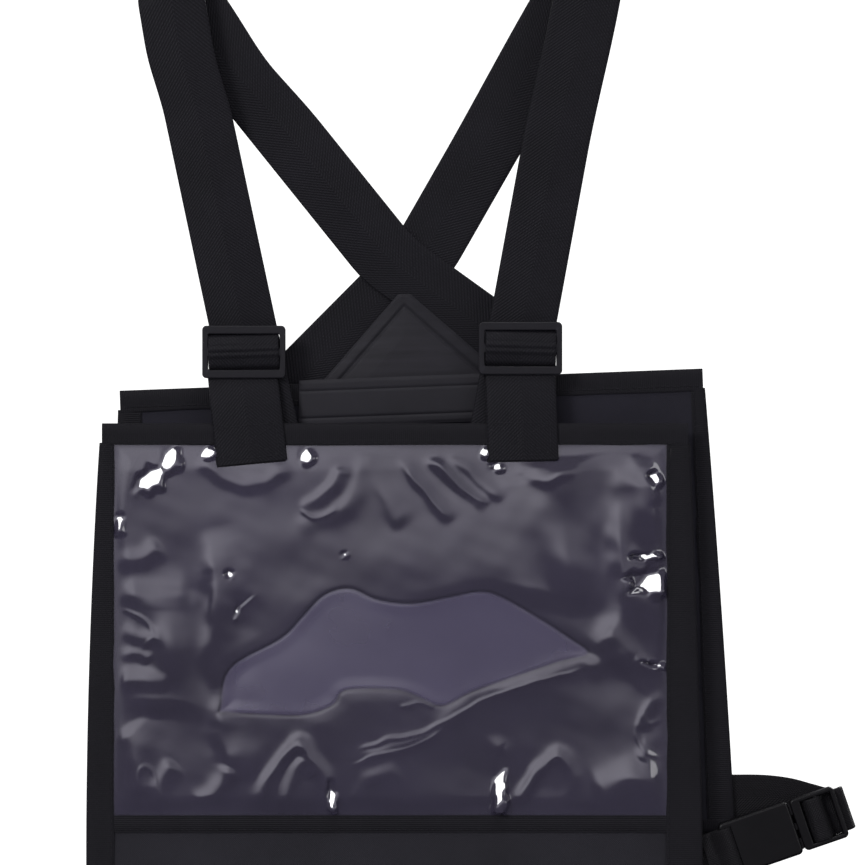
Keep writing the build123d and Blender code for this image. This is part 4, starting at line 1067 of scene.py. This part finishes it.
yoke("yoke_front_face", mid_of("yoke_patch")[1], -1, "yoke_patch", 1.0)
yoke("yoke_rear_face", mid_of("yoke_backing")[1], 1, "yoke_backing", 0.8)


def yoke_foot():
    """The yoke's cloth carries on down over the back panel's top binding, with two sewn lines."""

    half, flare, low, high = 0.0640, 0.05, 0.0255, -0.003
    sewn = 0.0036, 0.0200

    def mid(u, v):
        x = -0.0035 + u * (half + flare * v)
        line = sum(np.exp(-(((v - at_v) / 0.0007) ** 2)) for at_v in sewn)
        puff = 0.0006 + 0.0004 * value_noise(x, v, 90, 41) - 0.0005 * line
        lip = smooth((1 - np.abs(u)) * half / 0.002) * smooth((v - high) / 0.002) * smooth((low - v) / 0.002)
        return back_point(x, v, BACK_OUT + 0.0007 + puff * lip)

    obj = sheet("yoke_foot", mid, np.linspace(-1, 1, 120), np.linspace(low, high, 48), 0.0006, SATIN)
    scale_uv(obj, half)
    declare(obj, "back", "yoke_fabric")


yoke_foot()

# ---------------------------------------------------------------- side webbing and buckle
LEAN = math.radians(19)
U = np.array((math.cos(LEAN), 0, math.sin(LEAN)))  # along the buckle
V = np.array((-U[2], 0, U[0]))  # across it
sock_lo, sock_hi = box("buckle_socket")
BUCKLE_MID_Y = (sock_lo[1] + sock_hi[1]) / 2
MOUTH = np.array((0.240, BUCKLE_MID_Y, -0.514))


def at(u, y):
    """A point on the buckle's middle line, u along it from the socket's mouth, at a row-frame Y."""
    p = MOUTH + U * u
    return np.array((p[0], y, p[2]))


clip_lo, clip_hi = box("buckle_clip")
rear_lo, rear_hi = box("side_strap_right_rear")
REAR_Y, REAR_Z = (rear_lo[1] + rear_hi[1]) / 2, (rear_lo[2] + rear_hi[2]) / 2
SIDE = np.array((1.0, 0, 0))
RUN = [
    # from the back panel round to the buckle's clip
    (np.array((rear_lo[0], REAR_Y, REAR_Z)), UP),
    (np.array((rear_lo[0] + 0.016, REAR_Y, REAR_Z)), UP),
    (np.array((0.222, REAR_Y + 0.0006, REAR_Z - 0.0002)), UP),
    (np.array((0.240, REAR_Y + 0.0002, REAR_Z - 0.0020)), UP * 0.97 - SIDE * 0.12),
    (np.array((0.255, REAR_Y - 0.0012, REAR_Z - 0.0050)), UP * 0.94 - SIDE * 0.26),
]
RUN += [
    # over and under the clip's bars, to the tail behind the socket
    (at(u, y), V)
    for u, y in (
        (0.0288, REAR_Y - 0.0022), (0.0335, REAR_Y - 0.0062), (0.0342, -0.0010), (0.0318, -0.0048),
        (0.0275, clip_hi[1] + 0.0010), (0.0222, clip_hi[1] + 0.0010), (0.0196, BUCKLE_MID_Y + 0.0010),
        (0.0182, clip_lo[1] - 0.0006), (0.0148, clip_lo[1] - 0.0014), (0.0112, clip_lo[1] - 0.0006),
        (0.0090, BUCKLE_MID_Y + 0.0004), (0.0070, clip_hi[1] + 0.0012), (0.0030, clip_hi[1] + 0.0022),
        (-0.0080, sock_hi[1] + 0.0014), (-0.0230, sock_hi[1] + 0.0018),
    )
]
PER = 16
web_mid, web_len = path_surface([p for p, _ in RUN], [w for _, w in RUN], PER)
line = catmull([p for p, _ in RUN], PER)
steps = np.concatenate([[0], np.cumsum(np.linalg.norm(np.diff(line, axis=0), axis=1))])
CUT_X = 0.226
CUT_1 = float(np.interp(CUT_X, line[: PER * 4, 0], steps[: PER * 4]))
CUT_2 = float(steps[PER * 6])


def web_piece(name, mid, s_vals, bodies, start, end, *nodes):
    obj = ribbon(name, mid, s_vals, SIDE_W, SIDE_T, SIDE_WEBBING)
    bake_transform(obj)
    if nodes:
        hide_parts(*nodes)


def spaced(s0, s1):
    return np.linspace(s0, s1, max(12, int((s1 - s0) / 0.0008)))


web_piece("side_web_rear", web_mid, spaced(0, CUT_1), ("back", "straps_front"), (0.200, 0, 0), (CUT_X, 0, 0),
          "side_strap_right_rear")
web_piece("side_web_bend", web_mid, spaced(CUT_1, CUT_2), ("straps_front", "front"), (CUT_X, 0, 0),
          (0.262, 0, 0))
web_piece("side_web_clip", web_mid, spaced(CUT_2, web_len), ("front", "clip"), tuple(line[PER * 6]),
          tuple(at(0.0300, -0.0040)), "side_strap_right_clip")

BACK_FACE = box("front_binding_right")[1][1]
SOCK = [
    # from under the front panel, round the socket's bar and back
    (-0.074, BACK_FACE + 0.0010), (-0.060, BACK_FACE + 0.0010), (-0.0510, BACK_FACE + 0.0014),
    (-0.0462, sock_hi[1] - 0.0012), (-0.0420, sock_hi[1] + 0.0009), (-0.0385, sock_hi[1] + 0.0005),
    (-0.0366, BUCKLE_MID_Y), (-0.0385, sock_lo[1] - 0.0006), (-0.0420, sock_lo[1] - 0.0010),
    (-0.0458, sock_lo[1] + 0.0016), (-0.0500, BACK_FACE - 0.0006), (-0.0560, BACK_FACE - 0.0005),
]
sock_mid, sock_len = path_surface([at(u, y) for u, y in SOCK], V, 14)
sock_web = ribbon("socket_web", sock_mid, np.linspace(0, sock_len, 110), SIDE_W, SIDE_T, SIDE_WEBBING)
declare(sock_web, "front", "webbing", "socket_webbing")

# the plain strap on the other side, folded flat between the panels
lf_lo, lf_hi = box("side_strap_left_front")
lr_lo, lr_hi = box("side_strap_left_rear")
LEFT_Z = (lf_lo[2] + lf_hi[2]) / 2
fy, ry = lf_lo[1] + 0.0007, lr_hi[1] - 0.0007
fold_x = lf_lo[0] + 0.0007
plain = [
    (lf_hi[0], fy), (fold_x + 0.030, fy + 0.0004), (fold_x + 0.010, fy + 0.0003),
    (fold_x + 0.0022, fy + 0.0014), (fold_x, (fy + ry) / 2), (fold_x + 0.0022, ry - 0.0014),
    (fold_x + 0.010, ry - 0.0003), (fold_x + 0.030, ry - 0.0004), (lf_hi[0], ry),
]
left_pts = [np.array((x, y, LEFT_Z)) for x, y in plain]
left_mid, left_len = path_surface(left_pts, UP, 14)
web_piece("side_web_left_front", left_mid, np.linspace(0, left_len / 2, 70), ("straps_front", "front"),
          (fold_x + 0.004, 0, 0), (lf_hi[0] - 0.012, 0, 0), "side_strap_left_front")
web_piece("side_web_left_rear", left_mid, np.linspace(left_len / 2, left_len, 70), ("back", "straps_front"),
          (lf_hi[0] - 0.006, 0, 0), (fold_x + 0.006, 0, 0), "side_strap_left_rear")

# ---------------------------------------------------------------- CAD pieces that stay
for material, kept in (
    (PLASTIC, ("triglide_left", "triglide_right")),
    (BUCKLE, ("buckle_socket", "buckle_clip", "prong_upper", "prong_lower")),
    (HOOK, ("pocket_tape_loop", "pocket_tape_hook")),
):
    for node in kept:
        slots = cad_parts[node].data.materials
        slots.clear()
        slots.append(material)

# ---------------------------------------------------------------- seams
def across_row(point, half, drop, out, facing=FRONT):
    """A row of thread across a panel, half metres each way from its middle or between two x."""
    x0, x1 = half if isinstance(half, tuple) else (-half, half)
    return seam(point, lerp((x0, drop), (x1, drop)), out), facing


def upright_row(point, x, out):
    return seam(point, lerp((x, BIND_W), (x, PANEL_H - FOOT_W)), out), FRONT


TOP_ROW, FOOT_ROW = TOP_HALF - 0.002, FOOT_HALF - 0.002
BAND_ROW = (-EDGE_X + 0.002, MOUTH_X - 0.002)
IN = 0.0012  # how far a side row lies in from the binding's inner edge
thread_out, band_out = F_OUT + 0.00035, FABRIC_T / 2 + CLEAR_T + BIND_T + 0.0005
front_rows = [
    across_row(front_point, TOP_ROW, BIND_W - 0.0016, thread_out + 0.0002),
    upright_row(front_point, -EDGE_X - IN, thread_out),
    upright_row(front_point, MOUTH_X + IN, thread_out),
    across_row(front_point, FOOT_ROW, PANEL_H - FOOT_W + 0.0022, thread_out + 0.0002),
    across_row(front_point, BAND_ROW, BAND_TOP + 0.0012, band_out),
    across_row(front_point, BAND_ROW, BAND_TOP + BAND_H - 0.0014, band_out),
]
back_rows = [
    across_row(back_point, TOP_ROW, BIND_W - 0.0034, B_OUT + 0.00055),
    across_row(back_point, TOP_ROW, BIND_W - 0.0034, B_BACK - 0.0002, -FRONT),
    upright_row(back_point, EDGE_X + IN, B_OUT + 0.0004),
    upright_row(back_point, -MOUTH_X - IN, B_OUT + 0.0004),
]
declare(stitches("front_seams", front_rows, 0.0034, THREAD), "front", "binding_tape")
declare(stitches("back_seams", back_rows, 0.0034, THREAD), "back", "binding_tape")

# ---------------------------------------------------------------- camera, light, floor
scene = bpy.context.scene
scene.view_settings.view_transform = "Standard"
cam_data = bpy.data.cameras.new("camera")
cam_data.lens = LENS
cam_data.sensor_width = SENSOR
cam = bpy.data.objects.new("camera", cam_data)
scene.collection.objects.link(cam)
cam.location = CAMERA
cam.rotation_euler = (math.pi / 2, 0, 0)
scene.camera = cam

world = bpy.data.worlds.new("studio")
scene.world = world
world.use_nodes = True
wn = world.node_tree
bg = wn.nodes["Background"]
sky = wn.nodes.new("ShaderNodeTexCoord")
split = wn.nodes.new("ShaderNodeSeparateXYZ")
wn.links.new(sky.outputs["Generated"], split.inputs[0])


def sweep(socket, dark_at, bright_at, low, high):
    n = wn.nodes.new("ShaderNodeMapRange")
    n.interpolation_type = "SMOOTHSTEP"
    n.inputs["From Min"].default_value = dark_at
    n.inputs["From Max"].default_value = bright_at
    n.inputs["To Min"].default_value = low
    n.inputs["To Max"].default_value = high
    wn.links.new(socket, n.inputs["Value"])
    return n.outputs[0]


# a broad soft panel ahead of the object: dim below its lower edge, brighter to the left
up_from = sweep(split.outputs[2], -0.095, 0.13, 0.0, 1.0)
up_to = sweep(split.outputs[2], 0.55, 0.32, 0.0, 1.0)
leftish = sweep(split.outputs[0], 0.22, -0.20, 0.32, 1.12)
ahead = sweep(split.outputs[1], -0.60, -0.90, 0.0, 1.75)
lift = mul(wn, mul(wn, up_from, up_to), mul(wn, leftish, ahead))
lift = math_node(wn, "ADD", lift, sweep(split.outputs[2], -0.5, 0.6, 0.08, 0.30))
wn.links.new(lift, bg.inputs["Strength"])
bg.inputs["Color"].default_value = (0.92, 0.90, 1.0, 1)
white = wn.nodes.new("ShaderNodeBackground")
white.inputs["Color"].default_value = (1, 1, 1, 1)
white.inputs["Strength"].default_value = 1.25
path = wn.nodes.new("ShaderNodeLightPath")
mixer = wn.nodes.new("ShaderNodeMixShader")
wn.links.new(path.outputs["Is Camera Ray"], mixer.inputs[0])
wn.links.new(bg.outputs[0], mixer.inputs[1])
wn.links.new(white.outputs[0], mixer.inputs[2])
wn.links.new(mixer.outputs[0], wn.nodes["World Output"].inputs[0])


def area_light(name, loc, target_z, size, power, size_y=None):
    data = bpy.data.lights.new(name, "AREA")
    data.energy = power
    data.size = size
    if size_y:
        data.shape = "RECTANGLE"
        data.size_y = size_y
    o = bpy.data.objects.new(name, data)
    o.location = loc
    o.rotation_euler = (Vector((0, 0, target_z)) - Vector(loc)).to_track_quat("-Z", "Y").to_euler()
    scene.collection.objects.link(o)


area_light("key", KEY_LIGHT, -0.28, 0.70, 34)
area_light("fill", (1.9, -1.9, 0.2), -0.3, 1.2, 9, 0.8)
area_light("top", (0.1, -0.6, 1.8), -0.3, 0.8, 12)
area_light("rear", (1.3, 2.3, 0.9), -0.3, 1.4, 60)
area_light("rear_fill", (-1.9, 1.6, 0.1), -0.3, 1.2, 22)

floor_mat, _, fp = nodes_of("floor", (0.88, 0.88, 0.89), 0.6)
fp.inputs["Emission Color"].default_value = (1, 1, 1, 1)
fp.inputs["Emission Strength"].default_value = 0.12
FLOOR_Z = -0.64
corners = [(-2.2, -0.85), (2.2, -0.85), (2.2, 0.78), (-2.2, 0.78)]
floor = make("floor", [(x, y, FLOOR_Z) for x, y in corners], [(0, 1, 2, 3)], floor_mat)
floor.visible_glossy = False
